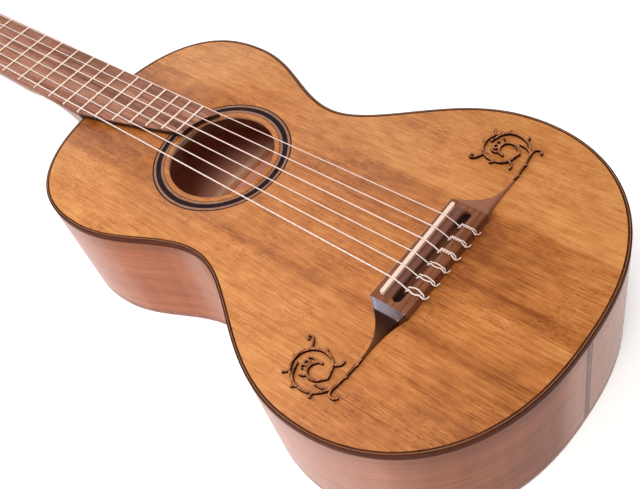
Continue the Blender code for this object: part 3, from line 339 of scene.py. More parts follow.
@dataclass(frozen=True)
class SideWood:
    """Brown varnished wood of the ribs and the back, streaked along the bend and bare above a height, with
    painted shade under the top edge and on the bass side of the tail.
    """

    name: str = "side_wood"
    shades: Shades = ((0.200, 0.058, 0.022), (0.400, 0.124, 0.050), (0.580, 0.210, 0.100))
    bare: Colour = (0.980, 0.460, 0.320)
    streak: Point = (70.0, 70.0, 2.0)
    figure: Point = (9.0, 9.0, 60.0)
    bare_from: float = 500.0
    top: float = 101.0

    def material(self) -> bpy.types.Material:
        """Draw up the finish.

        Returns:
            The material.
        """
        s = Surface(self.name)
        x, y, z = s.axes()
        streaks = s.noise(self.streak, 3, distortion=0.3) - 0.5
        broad = s.noise(tuple(length * 4 for length in self.streak), 2, (4.0, 0, 2.0)) - 0.5
        figure = s.noise(self.figure, 2, (0, 2.0, 0)) - 0.5
        pores = s.noise(tuple(length / 7 for length in self.streak), 1, (1.0, 5.0, 0)).rise(0.56, 0.70)
        # Darker toward the top edge: painted shade under the binding, with some stain.
        stain_and_shade = z.rise(self.top - 24, self.top - 4) * 0.26
        # Painted shade on the bass side of the tail, which also loses most of its coat there.
        dull = y.rise(-50, -95) * x.rise(-12, -38)
        tone = 0.54 + streaks * 0.75 + broad * 0.5 + figure * 0.35 - pores * 0.22 - stain_and_shade - dull * 0.30
        wood = s.wood(tone, self.shades)
        # The bare inside, its colour raised above the bare wood's own as painted light through the hole.
        inside = z.rise(self.bare_from, self.bare_from + 0.1)
        facing = s.node("ShaderNodeLayerWeight", {}, {"Blend": 0.5}, "Facing")
        s.relief(1.0 - pores, 0.00003)
        return s.finish(Base_Color=s.mix(wood, self.bare, inside), Roughness=0.40 + streaks * 0.14,
                        Coat_Weight=facing.rise(0.52, 0.66) * (1.0 - inside) * (0.40 - dull * 0.36),
                        Coat_Roughness=0.16, Specular_IOR_Level=0.15)


@dataclass(frozen=True)
class StraightWood:
    """Wood with straight grain and open pores along one axis."""

    name: str
    shades: Shades
    grain: Point
    pore: float = 0.3
    roughness: float = 0.45
    coat: float = 0.0
    contrast: float = 1.0
    gloss: float = 0.4

    def shaded(self, s: Surface, wood: Ink) -> Ink:
        """Leave the wood's colour as it is, with no painted shadow."""
        return wood

    def material(self) -> bpy.types.Material:
        """Draw up the finish.

        Returns:
            The material.
        """
        s = Surface(self.name)
        streaks = s.noise(self.grain, 3, distortion=0.3)
        broad = s.noise(tuple(length * 5 for length in self.grain), 2, (2.0, 1.0, 0))
        pores = s.noise(tuple(length / 4 for length in self.grain), 1, (7.0, 3.0, 1.0)).rise(0.58, 0.72)
        swing = (streaks - 0.5) * 0.7 + (broad - 0.5) * 0.7
        tone = 0.5 + swing * self.contrast - pores * self.pore
        wood = self.shaded(s, s.wood(tone, self.shades))
        s.relief(1.0 - pores * 0.8, 0.00006)
        return s.finish(Base_Color=wood, Roughness=self.roughness + pores * 0.2 + (streaks - 0.5) * 0.1,
                        Coat_Weight=self.coat, Coat_Roughness=0.2, Specular_IOR_Level=self.gloss)


@dataclass(frozen=True)
class BoardWood(StraightWood):
    """Rosewood, with a near black painted shadow on the edges and the end of the part over the body."""

    shadow: Colour = (0.016, 0.005, 0.005)
    joint: float = 325.0
    top: float = 107.7
    slope: float = 0.00995

    def shaded(self, s: Surface, wood: Ink) -> Ink:
        """Paint shadow on the board's edges over the body.

        Args:
            s: The material being drawn up.
            wood: Its colour so far.

        Returns:
            The colour with its painted shadow on the edges.
        """
        _, y, z = s.axes()
        # Painted shadow on the sides and end below the board's top, over the body.
        level = z - (y - self.joint) * self.slope
        below = level.rise(self.top - 0.25, self.top - 0.45)
        return s.mix(wood, self.shadow, below * y.rise(self.joint + 2, self.joint - 4) * 0.92)


WOODS = (
    StraightWood("dark_edge", ((0.020, 0.005, 0.003), (0.085, 0.022, 0.011), (0.190, 0.065, 0.034)),
                 (30, 30, 1.0), roughness=0.42, gloss=0.03),
    StraightWood("back_edge", ((0.120, 0.044, 0.028), (0.350, 0.145, 0.098), (0.540, 0.260, 0.190)),
                 (1.4, 1.4, 6), roughness=0.36, coat=0.05, gloss=0.1),
    StraightWood("light_inlay", ((0.200, 0.080, 0.032), (0.350, 0.158, 0.066), (0.480, 0.250, 0.112)),
                 (2, 8, 2), roughness=0.42, pore=0.1),
    StraightWood("brown_inlay", ((0.150, 0.062, 0.034), (0.310, 0.145, 0.088), (0.440, 0.235, 0.155)),
                 (1.2, 1.2, 3), roughness=0.45, gloss=0.2),
    StraightWood("black_inlay", ((0.008, 0.004, 0.005), (0.020, 0.010, 0.012), (0.045, 0.026, 0.028)),
                 (2, 2, 2), roughness=0.45, gloss=0.03),
    StraightWood("tail_strip_wood", ((0.090, 0.050, 0.040), (0.250, 0.135, 0.110), (0.400, 0.240, 0.200)),
                 (1.4, 1.4, 12), roughness=0.34, coat=0.05, gloss=0.1),
    StraightWood("bare_spruce", ((0.700, 0.390, 0.240), (0.900, 0.540, 0.350), (0.960, 0.680, 0.480)),
                 (0.8, 50, 0.8), roughness=0.7, contrast=0.7, gloss=0.1),
    StraightWood("neck_mahogany", ((0.170, 0.055, 0.022), (0.320, 0.118, 0.055), (0.460, 0.205, 0.110)),
                 (1.3, 60, 1.3), roughness=0.34, coat=0.15),
    BoardWood("board_rosewood", ((0.095, 0.032, 0.020), (0.335, 0.140, 0.086), (0.520, 0.270, 0.180)),
              (1.1, 36, 1.1), roughness=0.55, contrast=1.7, gloss=0.12),
    StraightWood("ebony", ((0.004, 0.003, 0.003), (0.014, 0.011, 0.010), (0.035, 0.027, 0.023)),
                 (1.0, 12, 12), roughness=0.32, coat=0.1),
)


@dataclass(frozen=True)
class BridgeWood:
    """The bridge's oiled wood: streaked block with a painted highlight on its front edge, painted shade in
    the slot and on the bass facet and wing, a painted sheen on the bass facet, and painted light on the
    treble facet and wing.
    """

    shades: Shades = ((0.050, 0.014, 0.006), (0.195, 0.062, 0.024), (0.350, 0.140, 0.068))
    shade_tone: Colour = (0.018, 0.004, 0.002)
    dusk: Colour = (0.145, 0.062, 0.048)
    wear_and_highlight: Colour = (0.520, 0.270, 0.160)
    pale: Colour = (0.340, 0.135, 0.076)
    facet_sheen: Colour = (0.250, 0.210, 0.270)
    base: float = 101.0
    block: float = 45.0
    facet: float = 5.5
    front: float = 6.0
    height: float = 6.5

    def material(self) -> bpy.types.Material:
        """Draw up the finish.

        Returns:
            The material.
        """
        s = Surface("bridge_wood")
        x, y, z = s.axes()
        streaks = s.noise((24, 1.0, 1.0), 3, distortion=0.4) - 0.5
        broad = s.noise((90, 5, 5), 2, (2.0, 1.0, 0)) - 0.5
        pores = s.noise((6, 0.30, 0.5), 1, (7.0, 3.0, 1.0)).rise(0.58, 0.72)
        tone = 0.52 + streaks * 0.9 + broad * 0.7 - pores * 0.25
        wood = s.wood(tone, self.shades)
        block, past, out = self.block, self.block + self.facet, x.size()
        middle = out.rise(block - 3, block - 4) * y.rise(-8, -7.2) * y.rise(-1.2, -2.2)
        inner = out.rise(block + 0.3, block - 0.3)
        top = z.rise(self.base + self.height - 0.9, self.base + self.height - 0.2) * inner
        # Painted shade low in the slot, darker toward its ends.
        slot_shade = z.rise(self.base + 4.6, self.base + 2.2) * inner * y.rise(-15, -14) * y.rise(-6.6, -7.6)
        facets = out.rise(block, block + 0.6) * out.rise(past + 1.0, past)
        bass = facets * x.rise(0, -1)
        # Painted shade on the bass wing beyond its facet, lighter toward the tip, with less coat.
        char_and_shade = x.rise(-past + 0.2, -past - 0.5)
        for colour, share in (
                (self.dusk, middle * 0.7),
                # Painted highlight along the block's front top edge.
                (self.wear_and_highlight, y.rise(self.front - 0.95, self.front - 0.45) * top * 0.8),
                # Lighter toward the treble on the strip in front of the saddle.
                (self.wear_and_highlight, y.rise(1.6, 4.0) * top * x.rise(-40, 40) * 0.14),
                (self.shade_tone, slot_shade * (out.rise(24, 33) * 0.55 + 0.45)),
                # Painted shade on the bass facet, then a painted bluish sheen over it toward the front.
                (self.shade_tone, bass * 0.75),
                (self.facet_sheen, bass * y.rise(-19, 1) * 0.85),
                # Painted light on the treble facet and wing.
                (self.pale, x.rise(block, block + 0.6) * 0.75),
                (self.shade_tone, char_and_shade * (x.rise(-72, -55) * 0.45 + 0.50))):
            wood = s.mix(wood, colour, share)
        s.relief(1.0 - pores * 0.8, 0.00006)
        return s.finish(Base_Color=wood, Roughness=0.40 + pores * 0.2 + streaks * 0.12,
                        Specular_IOR_Level=0.06, Coat_Weight=(0.20 + facets * 0.8 - char_and_shade * 0.20).clamped(),
                        Coat_Roughness=0.24)


@dataclass(frozen=True)
class VineWood:
    """Carved wood with walls dark from scorching and painted shade, and reddish tops."""

    char_and_shade: Colour = (0.020, 0.0035, 0.003)
    dark: Colour = (0.090, 0.024, 0.012)
    light: Colour = (0.560, 0.215, 0.090)
    foot: float = 101.0
    height: float = 2.6

    def material(self) -> bpy.types.Material:
        """Draw up the finish.

        Returns:
            The material.
        """
        s = Surface("vine_wood")
        _, _, z = s.axes()
        streaks = s.noise((9, 0.8, 2), 2)
        # Reddish wood on the tops, its light patches partly painted highlights.
        wood = s.mix(self.dark, self.light, streaks.rise(0.30, 0.66))
        ragged = z + (s.noise((1.2, 1.2, 1.2), 2) - 0.5) * 0.5
        # The walls below the crown take the near black of scorching and painted shade.
        crown = ragged.rise(self.foot + self.height * 0.80, self.foot + self.height * 0.92)
        s.relief(streaks, 0.00006)
        return s.finish(Base_Color=s.mix(self.char_and_shade, wood, crown), Roughness=0.45 + streaks * 0.15,
                        Specular_IOR_Level=0.08)


@dataclass(frozen=True)
class Bone:
    """Pale bone with faint darker veins."""

    colour: Colour = (0.840, 0.600, 0.475)
    vein: Colour = (0.680, 0.450, 0.320)

    def material(self) -> bpy.types.Material:
        """Draw up the finish.

        Returns:
            The material.
        """
        s = Surface("pale_bone")
        veins = s.noise((6, 0.7, 2.5), 3, distortion=0.5)
        pits = s.noise((0.5, 0.3, 0.5), 1).rise(0.66, 0.74)
        share = (veins.rise(0.5, 0.8) * 0.5 + pits * 0.5).clamped()
        s.relief(1.0 - pits, 0.00003)
        return s.finish(Base_Color=s.mix(self.colour, self.vein, share), Roughness=0.35 + pits * 0.2,
                        Subsurface_Weight=0.08, Subsurface_Radius=(0.002, 0.0012, 0.0008))


@dataclass(frozen=True)
class FretMetal:
    """Worn warm metal with fine lengthwise polishing marks."""

    bright: Colour = (0.940, 0.720, 0.580)
    dull: Colour = (0.660, 0.450, 0.330)

    def material(self) -> bpy.types.Material:
        """Draw up the finish.

        Returns:
            The material.
        """
        s = Surface("fret_metal")
        marks = s.noise((5, 0.12, 0.3), 2)
        tarnish = s.noise((6, 9, 6), 2).rise(0.45, 0.75)
        s.relief(marks, 0.00001)
        return s.finish(Base_Color=s.mix(self.bright, self.dull, tarnish * 0.6), Metallic=1.0,
                        Roughness=0.30 + marks * 0.15 + tarnish * 0.1)


class StringKind(Enum):
    """What a string is made of."""

    PLAIN = "string_plain"
    WOUND = "string_wound"


@dataclass(frozen=True)
class StringSurface:
    """Milky plain strings, or strings wound with fine pale wire."""

    kind: StringKind
    plain: tuple[Colour, Colour] = ((0.80, 0.58, 0.51), (0.88, 0.71, 0.64))
    wound: tuple[Colour, Colour] = ((0.70, 0.54, 0.46), (0.90, 0.78, 0.70))
    pitch: float = 0.30

    def material(self) -> bpy.types.Material:
        """Draw up the finish.

        Returns:
            The material.
        """
        s = Surface(self.kind.value)
        dust = s.noise((3, 3, 3), 2)
        if self.kind is StringKind.PLAIN:
            s.relief(dust, 0.00001)
            return s.finish(Base_Color=s.mix(*self.plain, dust), Roughness=0.28 + dust * 0.12)
        travel = s.node("ShaderNodeAttribute", {"attribute_name": "travel"}, {}, "Fac")
        turn = (travel / (self.pitch * MM)).fraction()
        ridge = (turn * (1.0 - turn) * 4.0).clamped()
        s.relief(ridge, 0.00003)
        return s.finish(Base_Color=s.mix(*self.wound, (ridge * 0.7 + dust * 0.4).clamped()),
                        Roughness=0.32 + dust * 0.15)


def placed(name: str, data: bpy.types.ID) -> bpy.types.Object:
    """A new object in the scene.

    Args:
        name: The object's name.
        data: Its mesh, curve, lamp or camera.

    Returns:
        The object.
    """
    thing = bpy.data.objects.new(name, data)
    bpy.context.scene.collection.objects.link(thing)
    return thing


def even_turns(count: int) -> list[float]:
    """The angles of evenly spaced points round a circle."""
    return [2 * pi * k / count for k in range(count)]


def quarter_turns(steps: int) -> list[float]:
    """Evenly spaced angles from 0 to a right angle."""
    return [pi / 2 * k / steps for k in range(steps + 1)]


def circle(radius: float, sides: int, centre: Flat = (0.0, 0.0)) -> list[Flat]:
    """Points round a circle."""
    return [(centre[0] + radius * cos(turn), centre[1] + radius * sin(turn)) for turn in even_turns(sides)]


def stadium(length: float, width: float, centre: Flat = (0.0, 0.0), arc: int = 14) -> list[Flat]:
    """A slot's outline: two straight sides with half-round ends.

    Args:
        length: Overall length along x.
        width: Width along y.
        centre: Its middle.
        arc: Steps round each end.

    Returns:
        The points.
    """
    reach, half = (length - width) / 2, width / 2
    loop = []
    for side in (1, -1):
        turns = [-side * pi / 2 + pi * k / arc for k in range(arc + 1)]
        middle = centre[0] + side * reach
        loop += [(middle + half * cos(turn), centre[1] + half * sin(turn)) for turn in turns]
    return loop


def mirrored(half: Sequence[Flat], first: int = 1, last: int | None = -1) -> list[Flat]:
    """Close a half outline with the mirror image of its points from first to before last."""
    return [*half, *((-x, y) for x, y in reversed(half[first:last]))]


def across(number: int, span: float) -> float:
    """How far a string lies from the centre line, where all six take up a span."""
    return span * (0.5 - (number - 1) / 5)


class Piece:
    """One object on the bench, and the operators that shape it."""

    def __init__(self, thing: bpy.types.Object) -> None:
        """Take up an object."""
        self.thing = thing

    @staticmethod
    def clear_selection() -> None:
        """Leave nothing selected."""
        for thing in bpy.context.selected_objects:
            thing.select_set(False)

    @classmethod
    def taken(cls, name: str) -> "Piece":
        """Name the object that an operator has just made.

        Args:
            name: The piece's name.

        Returns:
            The piece.
        """
        made = cls(bpy.context.object)
        made.thing.name = name
        made.thing.data.name = name
        return made

    @classmethod
    def skin(cls, name: str, rings: Sequence[Ring], loop: bool = False) -> "Piece":
        """Wrap a grid over a row of closed rings of equal count.

        Args:
            name: The piece's name.
            rings: The sections, each a row of points.
            loop: Whether the last section joins the first; otherwise both ends are closed.

        Returns:
            The closed piece.
        """
        rows = [[*ring, ring[0]] for ring in rings]
        if loop:
            rows.append(rows[0])
        cls.clear_selection()
        bpy.ops.mesh.primitive_grid_add(x_subdivisions=len(rows[0]) - 1, y_subdivisions=len(rows) - 1,
                                        size=1.0)
        made = cls.taken(name)
        places = [value for row in rows for point in row for value in point]
        made.thing.data.vertices.foreach_set("co", places)
        made.merged(1e-7)
        if not loop:
            made.edit(cls._close_ends)
        return made.outward()

    @staticmethod
    def _close_ends() -> None:
        """Fill the two open ends."""
        bpy.ops.mesh.select_all(action="DESELECT")
        bpy.ops.mesh.select_mode(type="EDGE")
        bpy.ops.mesh.select_non_manifold()
        bpy.ops.mesh.edge_face_add()

    @classmethod
    def turned(cls, name: str, profile: Sequence[Flat], sides: int, centre: Flat,
               unit: float = 1.0) -> "Piece":
        """Turn a closed profile, its radii and the centre in the given unit, round an upright axis.

        Args:
            name: The piece's name.
            profile: The section's radii, in the unit, and its heights, in metres.
            sides: Steps round the axis.
            centre: Where the axis stands, in the unit.
            unit: The unit, in metres.

        Returns:
            The closed piece.
        """
        (x, y), rings = centre, []
        for turn in even_turns(sides):
            rings.append([((x + r * cos(turn)) * unit, (y + r * sin(turn)) * unit, z) for r, z in profile])
        return cls.skin(name, rings, loop=True)

    @classmethod
    def _drawn(cls, name: str, lines: Sequence[Ring], closed: bool, **settings: object) -> "Piece":
        """Draw a curve and make a mesh of it.

        Args:
            name: The piece's name.
            lines: The points of each of its lines.
            closed: Whether each line runs back to its start.
            settings: The curve's settings.

        Returns:
            The piece.
        """
        data = bpy.data.curves.new(name, "CURVE")
        for key, value in settings.items():
            setattr(data, key, value)
        for line in lines:
            spline = data.splines.new("POLY")
            spline.points.add(len(line) - 1)
            spline.points.foreach_set("co", [value for point in line for value in (*point, 1.0)])
            spline.use_cyclic_u = closed
        made = cls(placed(name, data)).pick()
        bpy.ops.object.convert(target="MESH")
        return made

    @classmethod
    def plate(cls, name: str, loops: Sequence[Sequence[Flat]], low: float, high: float) -> "Piece":
        """Raise a board between two heights from its outline, with any further loops as holes in it.

        Args:
            name: The piece's name.
            loops: The outline, then any holes.
            low: The height of its underside.
            high: The height of its upper side.

        Returns:
            The board.
        """
        lines = [[(x, y, 0.0) for x, y in loop] for loop in loops]
        made = cls._drawn(name, lines, True, dimensions="2D", fill_mode="BOTH", extrude=(high - low) / 2)
        return made.merged().moved(Matrix.Translation((0, 0, (low + high) / 2))).outward()

    @classmethod
    def tube(cls, name: str, path: Sequence[Vector], radius: float, fineness: int = 4) -> "Piece":
        """Draw a round wire along a path, with how far each point lies along it kept on the mesh.

        Args:
            name: The piece's name.
            path: The points of its middle line.
            radius: Half its thickness.
            fineness: How finely its section is rounded.

        Returns:
            The wire.
        """
        made = cls._drawn(name, [path], False, dimensions="3D", bevel_depth=radius,
                          bevel_resolution=fineness, use_fill_caps=True)
        made._measure(path)
        return made.merged(1e-7).outward()

    def _measure(self, path: Sequence[Vector]) -> None:
        """Write each point's distance along the path, from the order in which a curve's rings come.

        Args:
            path: The points of the middle line.
        """
        mesh = self.thing.data
        around = len(mesh.vertices) // len(path)
        travel, values = 0.0, []
        for index, point in enumerate(path):
            travel += (point - path[index - 1]).length if index else 0.0
            values += [travel] * around
        values += [0.0] * (len(mesh.vertices) - len(values))
        mesh.attributes.new("travel", "FLOAT", "POINT").data.foreach_set("value", values)

    @classmethod
    def copy_of(cls, node: str, name: str) -> "Piece":
        """Take a merged copy of a CAD node, its flat triangles joined into whole faces.

        Args:
            node: The node's name.
            name: The piece's name.

        Returns:
            The copy.
        """
        made = cls(placed(name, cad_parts[node].data.copy()))
        made.thing.data.name = name
        return made.edit(lambda: bpy.ops.mesh.remove_doubles(threshold=1e-6),
                         lambda: bpy.ops.mesh.dissolve_limited(angle_limit=radians(0.5)))

    def copied(self, name: str) -> "Piece":
        """A copy of this piece."""
        return Piece(placed(name, self.thing.data.copy()))

    def dropped(self) -> None:
        """Take the piece out of the file."""
        bpy.data.objects.remove(self.thing)

    def pick(self) -> "Piece":
        """Make this the only selected object, and the active one.

        Returns:
            The same piece.
        """
        self.clear_selection()
        self.thing.select_set(True)
        bpy.context.view_layer.objects.active = self.thing
        return self

    def edit(self, *steps: Callable[[], object]) -> "Piece":
        """Run operators in edit mode, with everything selected at the start of each.

        Args:
            steps: Calls that run the operators, in order.

        Returns:
            The same piece.
        """
        self.pick()
        bpy.ops.object.mode_set(mode="EDIT")
        for step in steps:
            bpy.ops.mesh.select_mode(type="VERT")
            bpy.ops.mesh.select_all(action="SELECT")
            step()
        bpy.ops.object.mode_set(mode="OBJECT")
        return self

    def merged(self, distance: float = 1e-6) -> "Piece":
        """Join the points that lie in the same place."""
        return self.edit(lambda: bpy.ops.mesh.remove_doubles(threshold=distance))

    def moved(self, matrix: Matrix) -> "Piece":
        """Place the mesh, and leave the object at the origin."""
        self.thing.data.transform(matrix)
        return self

    def outward(self) -> "Piece":
        """Turn every face outward."""
        return self.edit(lambda: bpy.ops.mesh.normals_make_consistent(inside=False))

    def modified(self, kind: str, **settings: object) -> "Piece":
        """Apply a modifier with the given settings.

        Args:
            kind: The modifier's type.
            settings: Its settings.

        Returns:
            The same piece.
        """
        self.pick()
        step = self.thing.modifiers.new(kind.lower(), kind)
        for key, value in settings.items():
            setattr(step, key, value)
        bpy.ops.object.modifier_apply(modifier=step.name)
        return self

    def eased(self, width: float, steps: int = 2, angle: float = 40.0) -> "Piece":
        """Round the edges that turn by more than an angle."""
        return self.modified("BEVEL", width=width, segments=steps, limit_method="ANGLE",
                             angle_limit=radians(angle), use_clamp_overlap=True)

    def cut_by(self, tool: "Piece") -> "Piece":
        """Cut with another piece, and drop that.

        Args:
            tool: The other piece.

        Returns:
            The same piece.
        """
        self.modified("BOOLEAN", operation="DIFFERENCE", solver="EXACT", object=tool.thing)
        tool.dropped()
        return self

    def smooth(self, angle: float = 35.0) -> "Piece":
        """Shade softly, with edges sharper than an angle kept crisp.

        Args:
            angle: The angle, in degrees.

        Returns:
            The same piece.
        """
        self.pick()
        bpy.ops.object.shade_smooth_by_angle(angle=radians(angle))
        return self

    def dressed(self, material: bpy.types.Material, slot: str, *nodes: str, body: str = GUITAR) -> "Piece":
        """Give the piece its finish, its body and the nodes that it stands for.

        Args:
            material: The finish.
            slot: The record's material slot; not used.
            nodes: The CAD nodes that it replaces.
            body: The CAD body that it rides on.

        Returns:
            The same piece.
        """
        self.thing.data.materials.clear()
        self.thing.data.materials.append(material)
        if nodes:
            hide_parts(*nodes)
        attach(self.thing, body)
        LOG.info("%s: %d faces, %s", self.thing.name, len(self.thing.data.polygons), material.name)
        return self


def smooth_through(points: Sequence[Sequence[float]], step: float) -> list[Vector]:
    """Points of a smooth curve through the given ones.

    Args:
        points: What the curve passes through.
        step: About how far apart its points are.

    Returns:
        The curve's points.
    """
    points = [Vector(point) for point in points]
    ends = [points[0] * 2 - points[1], *points, points[-1] * 2 - points[-2]]
    result = [points[0]]
    for before, start, end, after in zip(ends, ends[1:], ends[2:], ends[3:]):
        count = max(1, round((end - start).length / step))
        spans = [max(sqrt((b - a).length), 1e-6) for a, b in ((before, start), (start, end), (end, after))]
        leave = (start - before) / spans[0] - (end - before) / (spans[0] + spans[1])
        leave += (end - start) / spans[1]
        reach = (end - start) / spans[1] - (after - start) / (spans[1] + spans[2])
        reach += (after - end) / spans[2]
        for k in range(1, count + 1):
            t = k / count
            result.append((2 * t**3 - 3 * t**2 + 1) * start + (t**3 - 2 * t**2 + t) * spans[1] * leave
                          + (3 * t**2 - 2 * t**3) * end + (t**3 - t**2) * spans[1] * reach)
    return result


@dataclass
class Body:
    """The box of the guitar: top, inlaid rings, edges, ribs and back."""

    depth: float = 0.101
    neck_y: float = 0.650 * 2 ** (-12 / 12)
    tail_y: float = -0.1207
    upper: Flat = (0.1082, 0.241)
    waist: Flat = (0.0786, 0.1384)
    lower: Flat = (0.1399, -0.006)
    upper_round: float = 2.44
    tail_round: Flat = (2.35, 2.10)
    leans: Flat = (-0.13, 0.28)
    steps: tuple[int, int, int, int] = (34, 24, 34, 42)
    top_thick: float = 0.0025
    back_thick: float = 0.0028
    rib_thick: float = 0.0026
    binding: Flat = (0.0015, 0.0050)
    purfling: float = 0.0007
    light_line: float = 0.00036
    hole: Flat = (0.1846, 0.0415)
    rosette: Flat = (0.0464, 0.0545)
    rosette_thick: float = 0.0010
    edge_round: float = 0.0008
    hole_sides: int = 128
    button: Flat = (0.024, 0.024)
    tail_strip: Flat = (0.0054, 0.0046)
    _half: list[Flat] = field(default_factory=list)

    def half(self) -> list[Flat]:
        """The treble half of the outline, from the neck to the tail.

        Returns:
            Its points.
        """
        if not self._half:
            (ux, uy), (wx, wy), (lx, ly) = self.upper, self.waist, self.lower
            shoulder = self._quarter(ux, self.neck_y - uy, (self.upper_round,) * 2, self.steps[0])
            bottom = self._quarter(lx, ly - self.tail_y, self.tail_round, self.steps[3])
            self._half = [(x, uy + y) for x, y in shoulder]
            self._half += self._flank(self.upper, self.waist, self.leans[0], self.steps[1])
            self._half += self._flank(self.waist, self.lower, self.leans[1], self.steps[2])
            self._half += [(x, ly - y) for x, y in reversed(bottom[:-1])]
        return self._half

    @staticmethod
    def _quarter(width: float, height: float, powers: Flat, steps: int) -> list[Flat]:
        """A quarter of a superellipse, from its top to its widest point."""
        turns = [pi / 2 * k / steps for k in range(steps)]
        return [*((width * sin(turn) ** (2 / powers[0]), height * cos(turn) ** (2 / powers[1]))
                  for turn in turns), (width, 0.0)]

    @staticmethod
    def _flank(start: Flat, end: Flat, lean: float, steps: int) -> list[Flat]:
        """A cosine curve between two widths.

        Args:
            start: The first width's place, across and along.
            end: The second's.
            lean: How far the bend is shifted to one end.
            steps: How many points it has.

        Returns:
            Its points, without the first width.
        """
        (x1, y1), (x2, y2) = start, end
        points = []
        for k in range(1, steps + 1):
            t = k / steps
            turn = pi * (t + lean * t * (1 - t))
            points.append(((x1 + x2) / 2 + (x1 - x2) / 2 * cos(turn), y1 + (y2 - y1) * t))
        return points

    def inset(self, distance: float) -> list[Flat]:
        """The treble half of the outline moved inward, with as many points.

        Args:
            distance: How far.

        Returns:
            The moved points.
        """
        points = self.half()
        around = [(-points[1][0], points[1][1]), *points, (-points[-2][0], points[-2][1])]
        moved = []
        for before, here, after in zip(around, around[1:], around[2:]):
            along = (Vector(here) - Vector(before)).normalized()
            along += (Vector(after) - Vector(here)).normalized()
            along.normalize()
            moved.append((here[0] + along.y * distance, here[1] - along.x * distance))
        return moved

    def loop(self, distance: float) -> list[Flat]:
        """The whole outline moved inward."""
        return mirrored(self.inset(distance))

    def edge_ring(self, name: str, section: Sequence[Flat]) -> Piece:
        """A strip along the whole edge of the body, from the insets and heights round its section."""
        loops = [[(x, y, z) for x, y in self.loop(inset)] for inset, z in section]
        return Piece.skin(name, list(zip(*loops)), loop=True)

    def build_top(self, wood: bpy.types.Material) -> None:
        """The soundboard, grooved for the rings round its hole.

        Args:
            wood: Its finish.
        """
        inset = self.binding[0] + GAP + self.purfling + GAP
        radii = (self.hole[1], self.rosette[1] + GAP / 2, self.rosette[0] - GAP / 2)
        hole, outer, inner = (circle(radius, self.hole_sides, (0, self.hole[0])) for radius in radii)
        top = Piece.plate("top_plate", [self.loop(inset), hole], self.depth - self.top_thick, self.depth)
        low = self.depth - self.rosette_thick - GAP / 2
        groove = Piece.plate("groove", [outer, inner], low, self.depth + 0.01)
        top.cut_by(groove).eased(BROKEN, 2, 60).smooth().dressed(wood, "spruce", "soundboard")

    def build_rosette(self, finishes: Sequence[tuple[float, float, bpy.types.Material]]) -> None:
        """The inlaid rings, from outside in.

        Args:
            finishes: Each ring's outer and inner radius, in millimetres, and its finish.
        """
        for number, (outer, inner, material) in enumerate(finishes, 1):
            outer, inner = outer * MM, inner * MM
            low, high, ease = self.depth - self.rosette_thick, self.depth, 0.00008
            profile = [(outer, low), (outer, high - ease), (outer - ease, high), (inner + ease, high),
                       (inner, high - ease), (inner, low)]
            ring = Piece.turned(f"rosette_ring_{number}", profile, self.hole_sides, (0, self.hole[0]))
            ring.smooth(30).dressed(material, "ebony", "rosette")

    def build_edges(self, dark: bpy.types.Material, light: bpy.types.Material,
                    back: bpy.types.Material) -> None:
        """The bindings, and a light and a dark line inside the top one.

        Args:
            dark: The finish of the top binding and the dark line.
            light: That of the light line.
            back: That of the back's binding.
        """
        (width, height), top, ease = self.binding, self.depth, self.edge_round
        corner = [(ease * (1 - cos(turn)), ease * (1 - sin(turn))) for turn in quarter_turns(4)]
        inner = width - self.light_line - GAP
        section = [(0.0, top - height), *((inset, top - drop) for inset, drop in corner), (inner, top),
                   (inner, top - self.top_thick), (width, top - self.top_thick - GAP), (width, top - height)]
        self.edge_ring("top_binding", section).smooth(40).dressed(dark, "dark_wood", "binding_top")
        for name, start, wide, material, slot, node in (
                ("top_line_light", inner + GAP, self.light_line, light, "light_line", "purfling_top"),
                ("top_line_dark", width + GAP, self.purfling, dark, "dark_wood", "binding_top")):
            line = [(start, top - self.top_thick), (start, top), (start + wide, top),
                    (start + wide, top - self.top_thick)]
            self.edge_ring(name, line).smooth(40).dressed(material, slot, node)
        section = [(0.0, height), *corner, (width, 0.0), (width, height)]
        paths = [self._from_button(inset, self.button[0] / 2 + GAP) for inset, _ in section]
        half = [[(x, y, z) for (x, y), (_, z) in zip(row, section)] for row in zip(*paths)]
        rings = half + [[(-x, y, z) for x, y, z in ring] for ring in reversed(half[:-1])]
        Piece.skin("back_binding", rings).smooth(40).dressed(back, "dark_wood", "binding_back")

    def _from_button(self, inset: float, half_width: float) -> list[Flat]:
        """The inset half outline from the heel button on.

        Args:
            inset: How far the outline is moved inward.
            half_width: How far from the centre line it starts.

        Returns:
            Its points.
        """
        path = self.inset(inset)
        first = next(index for index, point in enumerate(path) if point[0] > half_width + 0.002)
        (x1, y1), (x2, y2) = path[first - 1], path[first]
        cut = (half_width, y1 + (y2 - y1) * (half_width - x1) / (x2 - x1)) if x2 != x1 else path[first]
        return [cut, *path[first:]]

    def build_ribs(self, wood: bpy.types.Material, strip: bpy.types.Material) -> None:
        """Both sides, stepped back for the bindings, and the strip between them at the tail.

        Args:
            wood: The sides' finish.
            strip: The strip's finish.
        """
        channel, low = self.binding[0] + GAP, self.back_thick + GAP
        high = self.depth - self.top_thick - GAP
        near, far = self.binding[1] + GAP, self.depth - self.binding[1] - GAP
        section = [(channel, low), (channel, near), (0.0, near), (0.0, far), (channel, far), (channel, high),
                   (self.rib_thick, high), (self.rib_thick, low)]

        def strip_half(z: float) -> float:
            """Half the strip's width at a height."""
            share = (z - low) / (high - low)
            return (self.tail_strip[1] + (self.tail_strip[0] - self.tail_strip[1]) * share) / 2

        def tail(inset: float, x: float, z: float) -> Point:
            """A point of the inset outline near the tail, at a place across."""
            (x1, y1), (_, y2) = self.inset(inset)[-2:]
            return x, y2 + (y1 - y2) * min(abs(x) / x1, 1.0), z

